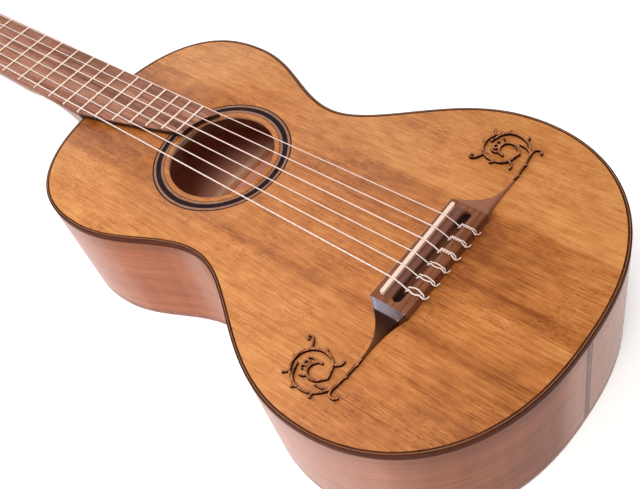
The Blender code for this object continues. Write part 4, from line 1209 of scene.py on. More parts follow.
        for name, side in SIDES:
            columns = []
            for inset, z in section:
                edge = strip_half(z) + GAP
                path = [point for point in self.inset(inset)[1:-1] if point[0] > edge or point[1] > 0]
                columns.append([(side * GAP / 2, path[0][1], z), *((side * x, y, z) for x, y in path),
                                tail(inset, side * edge, z)])
            count = min(map(len, columns))
            columns = [[*column[: count - 1], column[-1]] for column in columns]
            rib = Piece.skin(f"side_{name}", list(zip(*columns)))
            rib.smooth(40).dressed(wood, "maple", f"rib_{name}")
        rings = [[tail(inset, side * strip_half(z), z) for inset, z in section] for side in (-1, 0, 1)]
        Piece.skin("tail_line", rings).smooth(40).dressed(strip, "strip_wood", "tail_strip")

    def build_back(self, wood: bpy.types.Material) -> None:
        """The back with the button that covers the heel.

        Args:
            wood: Its finish.
        """
        half_button, reach = self.button[0] / 2, self.button[1]
        edge = self._from_button(self.binding[0] + GAP, half_button)
        middle = self.neck_y + reach - half_button
        half = [(half_button * sin(turn), middle + half_button * cos(turn)) for turn in quarter_turns(14)]
        back = Piece.plate("back_plate", [mirrored(half + edge)], 0.0, self.back_thick)
        back.eased(BROKEN, 2, 60).smooth().dressed(wood, "maple", "back")

    def dress_inside(self, bare: bpy.types.Material) -> None:
        """Blocks, linings and braces in bare wood, the braces with rounded edges.

        Args:
            bare: Their finish.
        """
        for node in sorted(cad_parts):
            if "brace" in node:
                piece = Piece.copy_of(node, node + "_shaped").eased(0.0012, 3, 50)
            elif "block" in node or "lining" in node:
                piece = Piece.copy_of(node, node + "_planed")
            else:
                continue
            piece.smooth().dressed(bare, "spruce_inside", node)


@dataclass
class Neck:
    """Neck, fingerboard, frets, nut and head."""

    body: Body
    scale: float = 0.650
    lift: float = 0.0029
    tilt: float = radians(0.57)
    board: tuple[float, float, float] = (0.0560, 0.0490, 0.0038)
    nut_thick: float = 0.0050
    frets: int = 18
    fret_size: Flat = (0.0024, 0.00105)
    depths: Point = (0.0215, 0.0190, 0.0155)
    heel: tuple[float, float, float] = (0.0200, 0.0560, 0.0220)
    end_taper: float = 0.0120
    keel: float = 0.0016
    head_angle: float = radians(12.0)
    head_size: Flat = (0.160, 0.0140)
    lobes: Point = (0.0670, 0.0515, 0.0750)
    bore: float = 0.0037
    tang: Flat = (0.0003, 0.0016)
    fret_slope: float = 0.0004
    cut_bow: float = 0.0014
    tip_x: float = -0.0012

    @property
    def nut_along(self) -> float:
        """How far the nut's front lies from the body."""
        return self.scale - self.body.neck_y

    @property
    def head_start(self) -> float:
        """Where the head begins."""
        return self.nut_along + GAP + self.nut_thick + GAP

    @property
    def taper_start(self) -> float:
        """Where the shaft begins to thin out toward the head."""
        return self.nut_along - self.end_taper

    @property
    def neck_frame(self) -> Matrix:
        """The frame of the neck, whose origin lies under the board at the body's edge."""
        heel = Matrix.Translation((0, self.body.neck_y, self.body.depth + self.lift))
        return heel @ Matrix.Rotation(self.tilt, 4, "X")

    @property
    def head_frame(self) -> Matrix:
        """The frame of the head, tilted back."""
        end = self.neck_frame @ Matrix.Translation((0, self.head_start, 0))
        return end @ Matrix.Rotation(-self.head_angle, 4, "X")

    def half_width(self, along: float) -> float:
        """Half the board's width at a distance from the body."""
        share = along / self.nut_along
        return (self.board[0] + (self.board[1] - self.board[0]) * share) / 2

    def ring(self, along: float, sides: int = 20) -> list[Vector]:
        """One section of the neck.

        Args:
            along: Its distance from the body.
            sides: Points down each side.

        Returns:
            The section's points.
        """
        flat, reach, heel_width = self.heel
        full = self.body.depth + self.lift - self.body.back_thick - GAP
        share = min(max((along - flat) / reach, 0.0), 1.0)
        shaft = self.depths[0] + (self.depths[1] - self.depths[0]) * along / self.nut_along
        taper = self.taper_start
        shaft += (self.depths[2] - self.depths[1]) * max(along - taper, 0.0) / (self.head_start - taper)
        depth = shaft + (full - shaft) * (1 - share) ** 2.6
        half = self.half_width(along)
        bottom = max(heel_width / 2 * (1 - share) ** 1.3, self.keel / 2)
        side = []
        for k in range(sides + 1):
            drop = sin(pi / 2 * k / sides)
            as_shaft = sqrt(max(1 - drop**2.3, 0.0))
            as_heel = (1 - drop) ** 1.5
            reach_out = bottom + (half - bottom) * (as_shaft + (as_heel - as_shaft) * (1 - share) ** 1.2)
            side.append((reach_out, -GAP - (depth - GAP) * drop))
        return [self.neck_frame @ Vector((x, along, up)) for x, up in mirrored(side, 0, None)]

    def build_neck(self, wood: bpy.types.Material) -> None:
        """The shaft and heel, fitted to the body's rounded end.

        Args:
            wood: Its finish.
        """
        flat, reach, _ = self.heel
        stations = [-0.004, 0.0, flat / 2, flat]
        stations += [flat + reach * (k / 26) ** 1.5 for k in range(1, 27)]
        stations += [self.nut_along * share for share in (0.3, 0.4, 0.5, 0.6, 0.7, 0.8, 0.9)]
        start = self.taper_start
        stations += [start + (self.head_start - GAP - start) * k / 6 for k in range(7)]
        neck = Piece.skin("neck_shaft", [self.ring(along) for along in stations])
        neck.cut_by(Piece.plate("clearance", [self.body.loop(-GAP)], -0.1, 0.2))
        neck.smooth(40).dressed(wood, "mahogany", "neck")

    def head_outline(self) -> list[Flat]:
        """The figure-eight head seen from the front.

        Returns:
            Its points.
        """
        lower, waist, upper = (width / 2 for width in self.lobes)
        start, length = self.half_width(self.head_start), self.head_size[0]
        guide = ((start, 0.0), (start, 0.06), (lower * 0.89, 0.15), (lower, 0.25), (lower * 0.97, 0.34),
                 (waist * 1.09, 0.435), (waist, 0.505), (waist * 1.10, 0.575), (upper * 0.93, 0.66),
                 (upper, 0.755), (upper * 0.88, 0.865), (upper * 0.60, 0.945), (upper * 0.27, 0.985),
                 (0.0, 1.0))
        path = smooth_through([(x, share * length, 0) for x, share in guide], 0.0016)
        return mirrored([(point.x, point.y) for point in path], 0)

    def build_head(self, wood: bpy.types.Material, places: Sequence[Flat]) -> None:
        """The head, bored for its pegs and cut square to the neck.

        Args:
            wood: Its finish.
            places: The pegs' places across and along it.
        """
        bores = [circle(self.bore, 40, place) for place in places]
        head = Piece.plate("head_plate", [self.head_outline(), *bores], -self.head_size[1], 0.0)
        normal = Matrix.Rotation(self.head_angle, 3, "X") @ Vector((0, 1, 0))
        head.edit(lambda: bpy.ops.mesh.bisect(plane_co=(0, 0, 0), plane_no=normal, use_fill=True,
                                              clear_inner=True))
        head.outward().eased(0.0008, 3, 50).smooth().moved(self.head_frame).dressed(wood, "mahogany", "head")

    def build_board(self, wood: bpy.types.Material) -> None:
        """The fingerboard, its edges just broken."""
        board = Piece.copy_of("fingerboard", "board").eased(BROKEN, 2, 50)
        board.smooth().dressed(wood, "rosewood", "fingerboard")

    def hole_arc(self, x: float) -> float:
        """The end of the board over the sound hole."""
        hole_y, radius = self.body.hole
        return hole_y + sqrt((radius - 0.001) ** 2 - x**2) - self.body.neck_y

    def bass_edge(self, along: float) -> float:
        """The board's bass edge: the taper, then the slant over the body.

        Args:
            along: A distance from the body, less than 0 over it.

        Returns:
            Where the edge lies across the board.
        """
        if along >= 0:
            return -self.half_width(along)
        share = along / self.hole_arc(self.tip_x)
        start = -self.half_width(0)
        return start + (self.tip_x - start) * share - self.cut_bow * sin(pi * min(share, 1.0) ** 0.7)

    def fret_along(self, number: int) -> float:
        """A fret's distance from the body."""
        return self.scale * 2 ** (-number / 12) - self.body.neck_y

    def build_frets(self, metal: bpy.types.Material) -> None:
        """The frets: a rounded crown on a narrow tang, both ends filed to a slope.

        Args:
            metal: Their finish.
        """
        width, height = self.fret_size
        half, (tang, sunk) = width / 2, self.tang
        crown = [(half * cos(turn), GAP + (height - GAP) * max(sin(turn), 0.0) ** 0.8)
                 for turn in (pi * k / 12 for k in range(13))]
        section = [(tang, -sunk), (tang, GAP), *crown, (-tang, GAP), (-tang, -sunk)]
        for number in range(1, self.frets + 1):
            along = self.fret_along(number)
            low, high, slope = self.bass_edge(along) + GAP, self.half_width(along) - GAP, self.fret_slope
            rings = []
            for x, inward in ((low, 1), (low + slope, 0), (high - slope, 0), (high, -1)):
                rings.append([(x + inward * max(z, 0.0) * 0.5, y, z) for y, z in section])
            fret = Piece.skin(f"fret_bar_{number:02d}", rings)
            fret.moved(self.neck_frame @ Matrix.Translation((0, along, self.board[2])))
            fret.smooth(50).dressed(metal, "fret_metal", f"fret_{number:02d}")

    def build_nut(self, bone: bpy.types.Material) -> None:
        """The grooved nut with its corners eased."""
        Piece.copy_of("nut", "nut_bone").eased(BROKEN, 2, 50).smooth().dressed(bone, "bone", "nut")


@dataclass
class Pegs:
    """Six rear pegs, alike, each on its own turning body."""

    neck: Neck
    asides: Point = (0.0210, 0.0180, 0.0190)
    alongs: Point = (0.038, 0.082, 0.126)
    tip: float = 0.0030
    tip_above: float = 0.0120
    thumb: Point = (0.0190, 0.0066, 0.0200)

    def place(self, number: int) -> Flat:
        """Where a string's peg stands on the head, across and along it."""
        if number <= 3:
            return self.asides[number - 1], self.alongs[number - 1]
        return -self.asides[6 - number], self.alongs[6 - number]

    def places(self) -> list[Flat]:
        """All six places."""
        return [self.place(number) for number in range(1, 7)]

    def model(self) -> Piece:
        """One peg: tapered shank, turned flange, and a stem that spreads into a flat thumb piece.

        Returns:
            The peg, round an upright axis through the origin.
        """
        under = -self.neck.head_size[1] - GAP
        width, thick, height = self.thumb
        stem = under - 0.0072
        above = self.tip_above
        rows = [(0.0016, above), (0.0025, above - 0.0003), (self.tip, above - 0.0012), (self.tip, 0.0),
                (0.0034, under + 0.0004), (0.0050, under), (0.0056, under - 0.0005),
                (0.0056, under - 0.0013), (0.0049, under - 0.0018), (0.0036, under - 0.0022),
                (0.0029, under - 0.0030), (0.0027, under - 0.0050), (0.0030, stem)]
        sections = [(radius, radius, z) for radius, z in rows]
        low = stem + 0.0020 - height
        for k in range(1, 17):
            turn = pi * (0.09 + 0.91 * k / 16)
            spread = max(sin(turn), 0.02) ** 0.75
            z = (stem + low) / 2 + cos(turn) * (stem - low) / 2
            sections.append((width / 2 * spread, thick / 2 * max(spread, 0.10) ** 0.7, z))
        rings = [[(rx * cos(turn), ry * sin(turn), z) for turn in even_turns(36)] for rx, ry, z in sections]
        return Piece.skin("peg_model", rings)

    def build(self, wood: bpy.types.Material) -> None:
        """Copy the one peg to its six places.

        Args:
            wood: Their finish.
        """
        model = self.model()
        for number, (aside, along) in enumerate(self.places(), 1):
            peg = model.copied(f"peg_{number}_turned")
            peg.moved(self.neck.head_frame @ Matrix.Translation((aside, along, 0)))
            peg.smooth(45).dressed(wood, "ebony", f"peg_{number}", body=f"peg_{number}")
        model.dropped()


@dataclass
class Bridge:
    """The tie-block bridge with its two wings, and the saddle."""

    base: float = 0.101
    tips: dict[int, Flat] = field(default_factory=lambda: {-1: (0.0830, -0.0158), 1: (0.0820, -0.0190)})
    draw_in: dict[int, Flat] = field(default_factory=lambda: {-1: (2.4, 2.6), 1: (2.9, 5.0)})
    half_length: float = 0.0450
    front: float = 0.0060
    rear: float = -0.0223
    height: float = 0.0065
    draft: float = 0.0009
    edge: float = 0.0005
    shoulder: Flat = (0.0055, 0.0037)
    tip_size: Flat = (0.0017, 0.0016)
    crown: float = 0.85
    round_by: float = 0.35
    saddle: Point = (0.0825, 0.0030, 0.0092)
    saddle_seat: float = 0.0030
    slant: float = radians(1.15)
    slot: Point = (0.0826, -0.0074, -0.0142)
    slot_floor: float = 0.0018
    tie_hole: Flat = (0.00095, 0.0032)
    string_span: float = 0.0580

    def section(self, x: float, rear: float, front: float, height: float, roundness: float) -> list[Point]:
        """One section across the bridge: flat with a slanting rear wall, or as round as asked.

        Args:
            x: Where it lies.
            rear: Its tail side.
            front: Its neck side.
            height: Its height over the top.
            roundness: 0 for flat, 1 for a half oval.

        Returns:
            The section's points.
        """
        draft = min(self.draft, (front - rear) * 0.2)
        edge = min(self.edge, height * 0.3, (front - rear) * 0.2)
        first, last = rear + draft + edge, front - edge
        line = [(rear, 0.0), (rear + draft * 0.5, (height - edge) / 2), (rear + draft, height - edge),
                (rear + draft + edge * 0.3, height - edge * 0.3)]
        line += [(first + (last - first) * k / 6, height) for k in range(7)]
        line += [(front - edge * 0.3, height - edge * 0.3), (front, height - edge),
                 (front, (height - edge) / 2), (front, 0.0)]
        ring = []
        for k, (y, up) in enumerate(line):
            turn = pi * k / (len(line) - 1)
            round_y = (front + rear) / 2 - (front - rear) / 2 * cos(turn)
            round_up = height * max(sin(turn), 0.0) ** self.crown
            height_here = self.base + GAP + up + (round_up - up) * roundness
            ring.append((x, y + (round_y - y) * roundness, height_here))
        return ring

    def wing(self, side: int, steps: int = 28) -> list[list[Point]]:
        """The sections of one wing, from its tip to the block.

        Args:
            side: -1 for bass, 1 for treble.
            steps: How many sections lie past the shoulder.

        Returns:
            The sections.
        """
        tip, powers = self.tips[side], self.draw_in[side]
        length = tip[0] - GAP - self.half_length
        reach, low = self.shoulder
        block_rear = self.rear - self.draft
        tip_front, tip_rear = tip[1] + self.tip_size[0] / 2, tip[1] - self.tip_size[0] / 2
        outs = [reach + (length - reach) * k / steps for k in range(steps, -1, -1)]
        outs += [reach * 0.75, reach * 0.5, reach * 0.25, 0.0]
        rings = []
        for out in outs:
            left = 1 - out / length
            front = tip_front + (self.front - tip_front) * left ** powers[0]
            rear = tip_rear + (block_rear - tip_rear) * left ** powers[1]
            past = (out - reach) / (length - reach)
            if past >= 0:
                rise = self.tip_size[1] + (low - self.tip_size[1]) * (1 - past) ** 1.8
            else:
                rise = self.height - GAP + (low - self.height + GAP) * out / reach
            roundness = min(max(past, 0.0) / self.round_by, 1.0)
            rings.append(self.section(side * (self.half_length + out), rear, front, rise, roundness))
        return rings

    def build_block(self, wood: bpy.types.Material) -> None:
        """The bridge in one piece, with its saddle seat, string slot and tie holes.

        Args:
            wood: Its finish.
        """
        block = Piece.skin("bridge_block", [*self.wing(-1), *reversed(self.wing(1))])
        above = self.base + 0.02
        length, thick, _ = self.saddle
        seat = Piece.plate("seat", [stadium(length + GAP, thick + GAP)], self.base + self.saddle_seat, above)
        block.cut_by(seat.moved(Matrix.Rotation(self.slant, 4, "Z")))
        span, near, far = self.slot
        slot = Piece.plate("slot", [stadium(span, near - far, (0, (near + far) / 2))],
                           self.base + self.slot_floor, above)
        block.cut_by(slot)
        reach = far - self.rear + self.draft
        for number in range(1, 7):
            hole = Piece.plate("hole", [circle(self.tie_hole[0], 24)], -reach * 0.65, reach * 0.65)
            place = (across(number, self.string_span), far - reach / 2, self.base + self.tie_hole[1])
            block.cut_by(hole.moved(Matrix.Translation(place) @ Matrix.Rotation(pi / 2, 4, "X")))
        block.edit(lambda: bpy.ops.mesh.dissolve_limited(angle_limit=radians(0.3)))
        block.eased(0.00018, 2, 50).smooth(32).dressed(wood, "dark_wood", "bridge")

    def build_saddle(self, bone: bpy.types.Material) -> None:
        """The saddle, crowned along its top.

        Args:
            bone: Its finish.
        """
        length, thick, top = self.saddle
        saddle = Piece.plate("saddle_bone", [stadium(length, thick)], self.base + self.saddle_seat + GAP,
                             self.base + top)
        saddle.eased(0.0008, 4, 60).moved(Matrix.Rotation(self.slant, 4, "Z"))
        saddle.smooth(50).dressed(bone, "bone", "saddle")


@dataclass
class Scrolls:
    """The carved vine beyond each wing's tip."""

    bridge: Bridge
    height: float = 0.0026
    bud_height: float = 0.0028
    bud_radius: float = 0.0011
    fuller: float = 0.95
    flare: float = 1.35
    eye: tuple[Flat, float, float] = ((20.0, 26.7), 2.5, 1.3)
    voxel: float = 0.00014

    def stems(self) -> list[tuple[Sequence[Flat], Flat]]:
        """The stretches: millimetres outward and neckward from the tip, and widths at their ends.

        Returns:
            Each stretch's points and its two widths.
        """
        return [
            (((0, -0.1), (5.0, 0.1), (14.0, 0.6), (22.0, 1.7), (27.6, 2.1), (30.0, 0.8), (30.6, -1.4),
              (29.9, -3.4), (28.6, -4.0)), (1.6, 1.2)),
            (((23.5, 2.0), (29.0, 5.2), (33.4, 10.0), (35.7, 15.5), (36.1, 20.8), (34.7, 25.8), (31.6, 29.1),
              (27.5, 30.8), (23.6, 32.1)), (1.8, 1.1)),
            (((34.6, 26.2), (30.4, 32.2), (25.8, 35.0), (20.8, 35.8), (16.0, 34.7), (11.7, 31.5),
              (8.8, 26.6), (8.0, 21.3), (9.4, 15.8), (12.6, 12.0), (16.7, 10.6), (21.0, 9.6), (24.6, 12.0),
              (27.1, 15.6), (27.4, 19.2), (26.0, 22.2), (23.2, 23.8), (20.3, 23.9), (17.6, 22.7),
              (15.7, 20.7), (15.3, 18.7)), (1.8, 1.4)),
            (((10.8, 30.8), (7.4, 32.5), (4.6, 34.4), (3.5, 36.4), (4.4, 38.1), (6.1, 37.4)), (1.5, 1.2)),
            (((12.6, 12.0), (11.0, 9.2), (9.2, 7.7), (7.3, 7.8)), (1.5, 1.1)),
            (((26.2, 3.5), (28.5, 8.5), (29.2, 13.6)), (1.5, 0.9)),
            (((29.0, 32.8), (31.5, 34.2), (32.9, 35.8)), (1.4, 1.2)),
            (((34.6, 10.8), (37.1, 10.8)), (1.3, 1.2)),
            (((36.0, 22.2), (37.5, 24.8)), (1.3, 1.2)),
            (((26.6, 21.8), (28.4, 23.8), (29.1, 26.2)), (1.3, 1.0)),
            (((16.8, 28.6), (15.3, 25.8), (16.2, 21.6)), (1.3, 1.1)),
            (((22.1, 28.1), (24.3, 28.3), (25.0, 26.6)), (1.2, 1.1)),
            (((8.2, 20.0), (6.4, 21.5), (5.2, 23.2)), (1.3, 1.0)),
        ]

    def buds(self) -> list[Flat]:
        """The vine's berries: their places, in millimetres."""
        return [(4.2, -0.3), (14.6, 0.2), (28.6, -3.9), (37.1, 10.8), (37.5, 24.9), (32.9, 35.8),
                (20.8, 36.8), (6.2, 37.3), (7.4, 7.8), (21.4, 9.3), (15.3, 18.8), (23.6, 32.1)]

    def stem(self, points: Sequence[Flat], widths: Flat) -> Piece:
        """One stretch: a strip with steep sides and a rounded ridge.

        Args:
            points: Its middle line, in millimetres.
            widths: Its width at either end.

        Returns:
            The closed piece.
        """
        path = smooth_through([(out * MM, up * MM, 0) for out, up in points], 0.0006)
        last, rings = len(path) - 1, []
        for index, here in enumerate(path):
            along = (path[min(index + 1, last)] - path[max(index - 1, 0)]).normalized()
            half = (widths[0] + (widths[1] - widths[0]) * (index / last)) / 2 * MM * self.fuller
            aside = Vector((-along.y, along.x, 0)) * half
            ring = [here - aside * self.flare, here + aside * self.flare]
            for turn in (pi * k / 8 for k in range(9)):
                up = Vector((0, 0, self.height * (0.80 + 0.20 * sin(turn))))
                ring.append(here + aside * 0.94 * cos(turn) + up)
            rings.append(ring)
        return Piece.skin("stem", rings)

    def model(self) -> Piece:
        """One scroll in one carved body, grown together and softened.

        Returns:
            The carving as it lies on the treble side, with the wing's tip at the origin.
        """
        parts = [self.stem(points, widths) for points, widths in self.stems()]
        for out, up in self.buds():
            rings = []
            for z, share in ((0, 1), (0.6, 1), (0.8, 0.9), (0.93, 0.66), (1.0, 0.25)):
                rings.append([(out * MM + x, up * MM + y, z * self.bud_height)
                              for x, y in circle(self.bud_radius * share, 20)])
            parts.append(Piece.skin("bud", rings))
        (out, up), outer, inner = self.eye
        middle, half = (outer + inner) / 2, (outer - inner) / 2
        profile = [(outer, 0.0), (outer, 0.72), (middle + half * 0.5, 0.95), (middle, 1.0),
                   (middle - half * 0.5, 0.95), (inner, 0.72), (inner, 0.0)]
        profile = [(radius, share * self.height) for radius, share in profile]
        parts.append(Piece.turned("eye", profile, 40, (out, up), MM))
        Piece.clear_selection()
        for part in parts:
            part.thing.select_set(True)
        bpy.context.view_layer.objects.active = parts[0].thing
        bpy.ops.object.join()
        whole = parts[0].modified("REMESH", mode="VOXEL", voxel_size=self.voxel)
        return whole.modified("SMOOTH", factor=0.5, iterations=2)

    def build(self, wood: bpy.types.Material) -> None:
        """Both scrolls, the same carving mirrored.

        Args:
            wood: Their finish.
        """
        model = self.model()
        for name, side in SIDES:
            out, along = self.bridge.tips[side]
            scroll = model.copied(f"vine_{name}").moved(Matrix.Diagonal((side, 1, 1, 1)))
            scroll.moved(Matrix.Translation((side * out, along, self.bridge.base + GAP))).outward()
            scroll.smooth(60).dressed(wood, "dark_wood", f"scroll_{name}")
        model.dropped()


@dataclass
class Strings:
    """Six strings, each one unbroken wire from its tie to its peg."""

    neck: Neck
    bridge: Bridge
    pegs: Pegs
    radii: tuple[float, ...] = (0.00036, 0.00041, 0.00050, 0.00040, 0.00045, 0.00053)
    nut_span: float = 0.0416
    above_board: float = 0.0038 + 0.00105 + 0.0009
    self_gap: float = 0.0006
    peg_gap: float = 0.0006
    rest_gap: float = 0.0001
    first_turn: float = 0.0014
    loops: dict[int, float] = field(default_factory=lambda: {4: 0.0017, 5: 0.0019, 6: 0.0027})
    loop_arc: float = 0.17
    thinner: float = 0.00001

    def open_loop(self, number: int, side: int) -> list[Point]:
        """One strand of a bass tie over the tie bar, bowed outward.

        Args:
            number: Which string.
            side: -1 or 1, the strand's side of the tie.

        Returns:
            What the strand passes through.
        """
        radius = self.radii[number - 1]
        height = self.bridge.height + GAP + radius + self.rest_gap
        wide, arc = side * (self.loops[number] - radius), self.loop_arc
        start, end = self.bridge.rear + 0.0005, self.bridge.slot[2] + 0.0003
        return [(wide * sin(pi * (arc + (1 - 2 * arc) * share)), start + (end - start) * share, height)
                for share in (0.0, 0.25, 0.5, 0.75, 1.0)]

    def twisted(self, number: int, side: int, turns: int = 2, points: int = 16) -> list[Point]:
        """One strand of a treble tie over the tie bar, wound round the other.

        Args:
            number: Which string.
            side: -1 or 1, the strand's side at its start.
            turns: How many turns it makes.
            points: How many points each turn has.

        Returns:
            What the strand passes through.
        """
        radius = self.radii[number - 1]
        swing = radius + 0.0003
        height = self.bridge.height + GAP + swing + radius + self.rest_gap
        start, end = self.bridge.rear + 0.0004, self.bridge.slot[2] + 0.0004
        strand = []
        for k in range(turns * points + 1):
            angle, share = 2 * pi * k / points, k / (turns * points)
            strand.append((side * swing * cos(angle), start + (end - start) * share,
                           height + side * swing * sin(angle)))
        return strand

    def tie(self, number: int) -> list[Vector]:
        """A string's end at the bridge, from its tail to its hole.

        Args:
            number: Which string, 1 the treble.

        Returns:
            What the wire passes through.
        """
        radius, bridge = self.radii[number - 1], self.bridge
        shape = self.open_loop if number in self.loops else self.twisted
        strands = {side: shape(number, side) for side in (-1, 1)}
        rear, front = bridge.rear - bridge.draft, bridge.slot[2]
        hang = 2 * radius + self.self_gap
        low = bridge.slot_floor + GAP + radius + 0.0002
        hole = bridge.tie_hole[1]
        tail = [(0.0028, rear - 0.0028, 0.0042), (0.0014, rear - 0.0027, 0.0046),
                (-0.0004, rear - 0.0024, 0.0054), (-0.0014, rear - 0.0012, 0.0066)]
        down = [(-hang, front + 0.0016, 0.0062), (-hang, front + 0.0028, 0.0046),
                (-hang * 0.6, front + 0.0032, low + 0.0003)]
        up = [(-x, y, z) for x, y, z in reversed(down)]
        into = [(0.0006, rear - 0.0005, 0.0068), (0.0002, rear - 0.0009, 0.0048),
                (0.0, rear - 0.0006, hole + 0.0002), (0.0, rear + 0.0006, hole), (0.0, front - 0.0002, hole),
                (0.0, front + 0.0008, hole + 0.0002)]
        route = tail + strands[-1] + down + [(0.0, front + 0.0033, low)] + up
        route += list(reversed(strands[1])) + into
        centre = Vector((across(number, bridge.string_span), 0, bridge.base))
        return [centre + Vector(point) for point in route]

    def winding(self, number: int, start: Vector, turns: int = 2, points: int = 24) -> list[Vector]:
        """The turns round the peg, in the head's frame, from where the string first touches.

        Args:
            number: Which string.
            start: Where it leaves the nut.
            turns: How many turns.
            points: How many points each turn has.

        Returns:
            The turns' points.
        """
        radius = self.radii[number - 1]
        aside, along = self.pegs.place(number)
        turn = -1 if aside > 0 else 1
        swing = (self.pegs.tip + self.peg_gap + radius) / cos(pi / points)
        pitch = 2 * radius + self.self_gap
        away = Vector((start.x - aside, start.y - along))
        first = atan2(away.y, away.x) + turn * acos(swing / away.length)
        path = []
        for k in range(turns * points + 1):
            angle = first + turn * 2 * pi * k / points
            height = self.first_turn + radius + pitch * (turns * points - k) / points
            path.append(Vector((aside + swing * cos(angle), along + swing * sin(angle), height)))
        return path

    def path(self, number: int) -> list[Vector]:
        """The whole run of a string: tie, saddle, nut and peg.

        Args:
            number: Which string.

        Returns:
            The points of its middle line.
        """
        radius, bridge, neck = self.radii[number - 1], self.bridge, self.neck
        x = across(number, bridge.string_span)
        slant, thick = x * sin(bridge.slant), bridge.saddle[1]
        rest = bridge.base + bridge.saddle[2] + GAP + radius
        edge = bridge.base + bridge.height + GAP + radius + self.rest_gap
        path = smooth_through(self.tie(number), 0.00035)
        path += [Vector((x, bridge.slot[1] - 0.0002, edge))]
        path += [Vector((x, slant - thick / 2, rest)), Vector((x, slant + thick / 2, rest))]
        nut_x = across(number, self.nut_span)
        ends = (neck.nut_along + GAP, neck.nut_along + GAP + neck.nut_thick)
        path += [neck.neck_frame @ Vector((nut_x, along, self.above_board)) for along in ends]
        start = neck.head_frame.inverted() @ path[-1]
        return path + [neck.head_frame @ point for point in self.winding(number, start)]

    def build(self, finishes: dict[StringKind, bpy.types.Material]) -> None:
        """Draw all six.

        Args:
            finishes: The finish of each kind.
        """
        for number, radius in enumerate(self.radii, 1):
            kind = StringKind.WOUND if number in self.loops else StringKind.PLAIN
            wire = Piece.tube(f"wire_{number}", self.path(number), radius - self.thinner)
            wire.smooth(60).dressed(finishes[kind], kind.value, f"string_{number}")


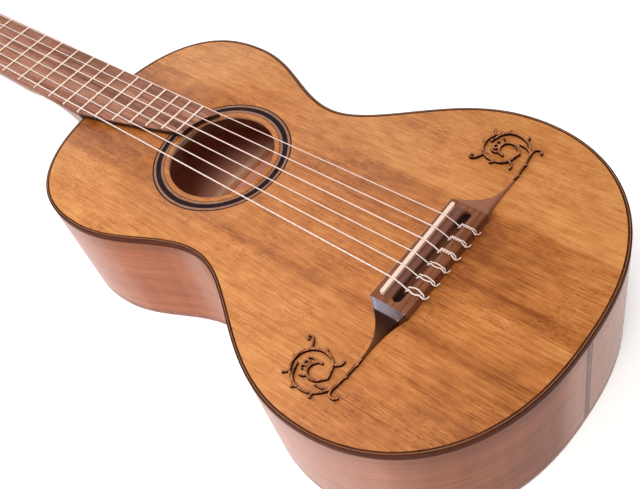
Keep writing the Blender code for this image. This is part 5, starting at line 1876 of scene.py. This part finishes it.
@dataclass
class Studio:
    """Floor, lamps, world and camera."""

    eye: Point = (-0.24806, -0.24407, 0.55548)
    right: Point = (0.62176, -0.75490, -0.20863)
    down: Point = (-0.68946, -0.40119, -0.60307)
    forward: Point = (0.37156, 0.51881, -0.76992)
    focal: float = 878.80
    picture: tuple[int, int] = (640, 489)
    rise: float = 2.0
    glow: float = 0.36
    sky: float = 0.36
    floor_radius: float = 6.0
    floor_place: Point = (0.0, 0.3, -0.0006)
    middle: Point = (0.0, 0.10, 0.05)
    lamps: tuple[tuple[str, Point, float, float, Colour], ...] = (
        ("far", (0.70, 1.45, 1.10), 1.6, 11.0, (1.0, 0.99, 0.97)),
        ("window", (-0.66, 0.70, 1.42), 0.7, 7.8, (0.84, 0.89, 1.0)),
        ("front", (-0.62, -0.30, 1.62), 0.6, 15.5, (1.0, 0.97, 0.94)),
        ("left", (-1.50, 0.20, 0.36), 1.0, 6.0, (1.0, 0.96, 0.94)))

    def build_camera(self) -> None:
        """The camera at the photograph's viewing angle."""
        data = bpy.data.cameras.new("camera")
        data.sensor_fit = "HORIZONTAL"
        data.sensor_width = 36.0
        data.lens = self.focal / self.picture[0] * data.sensor_width
        data.shift_y = self.rise / self.picture[0]
        data.clip_start = 0.01
        camera = placed("camera", data)
        axes = Matrix((self.right, [-value for value in self.down], [-value for value in self.forward]))
        camera.matrix_world = Matrix.Translation(self.eye) @ axes.transposed().to_4x4()
        bpy.context.scene.camera = camera

    def build_floor(self) -> None:
        """A pale floor that shows as white where the lamps reach it, and keeps the shadow."""
        Piece.clear_selection()
        bpy.ops.mesh.primitive_circle_add(vertices=64, radius=self.floor_radius, fill_type="NGON",
                                          location=self.floor_place)
        floor = Piece.taken("floor")
        s = Surface("pale_floor")
        speck = s.noise((40, 40, 40), 2)
        rays = [s.node("ShaderNodeLightPath", {}, {}, kind)
                for kind in ("Is Camera Ray", "Is Glossy Ray", "Is Transmission Ray")]
        shine = s.mix((0.0, 0.0, 0.0), (self.glow,) * 3, (rays[0] + rays[1] + rays[2]).clamped())
        colour = s.mix((0.86, 0.86, 0.86), (0.89, 0.89, 0.89), speck)
        floor.thing.data.materials.append(
            s.finish(Base_Color=colour, Roughness=0.9, Emission_Color=shine, Emission_Strength=1.0))

    def build_light(self) -> None:
        """Soft white light from all round, and square lamps that face the guitar's middle."""
        world = bpy.data.worlds.new("studio")
        world.use_nodes = True
        background = world.node_tree.nodes["Background"]
        background.inputs["Color"].default_value = (1.0, 1.0, 1.0, 1.0)
        background.inputs["Strength"].default_value = self.sky
        bpy.context.scene.world = world
        for name, place, size, power, colour in self.lamps:
            data = bpy.data.lights.new(name, "AREA")
            data.shape = "SQUARE"
            data.size = size
            data.energy = power
            data.color = colour
            lamp = placed(name, data)
            lamp.location = place
            lamp.rotation_euler = (Vector(self.middle) - Vector(place)).to_track_quat("-Z", "Y").to_euler()

    def build(self) -> None:
        """Set everything up."""
        self.build_camera()
        self.build_floor()
        self.build_light()
        bpy.context.scene.view_settings.view_transform = "Standard"


def main() -> None:
    """Dress the whole guitar."""
    logging.basicConfig(level=logging.INFO, format="%(name)s: %(message)s")
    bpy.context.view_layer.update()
    Studio().build()
    wood = {kind.name: kind.material() for kind in WOODS}
    bone = Bone().material()
    body = Body()
    body.build_top(TopWood().material())
    body.build_rosette([(54.50, 53.65, wood["black_inlay"]), (53.60, 51.75, wood["brown_inlay"]),
                        (51.70, 47.95, wood["black_inlay"]), (47.90, 46.40, wood["brown_inlay"])])
    body.build_edges(wood["dark_edge"], wood["light_inlay"], wood["back_edge"])
    body.build_ribs(SideWood().material(), wood["tail_strip_wood"])
    body.build_back(SideWood("back_wood", streak=(2.2, 90.0, 90.0), figure=(30.0, 8.0, 30.0),
                             bare_from=2.6).material())
    body.dress_inside(wood["bare_spruce"])
    neck = Neck(body)
    pegs = Pegs(neck)
    neck.build_neck(wood["neck_mahogany"])
    neck.build_head(wood["neck_mahogany"], pegs.places())
    neck.build_board(wood["board_rosewood"])
    neck.build_frets(FretMetal().material())
    neck.build_nut(bone)
    pegs.build(wood["ebony"])
    bridge = Bridge()
    bridge.build_block(BridgeWood().material())
    bridge.build_saddle(bone)
    Scrolls(bridge).build(VineWood().material())
    Strings(neck, bridge, pegs).build({kind: StringSurface(kind).material() for kind in StringKind})


if __name__ == "__main__":
    main()
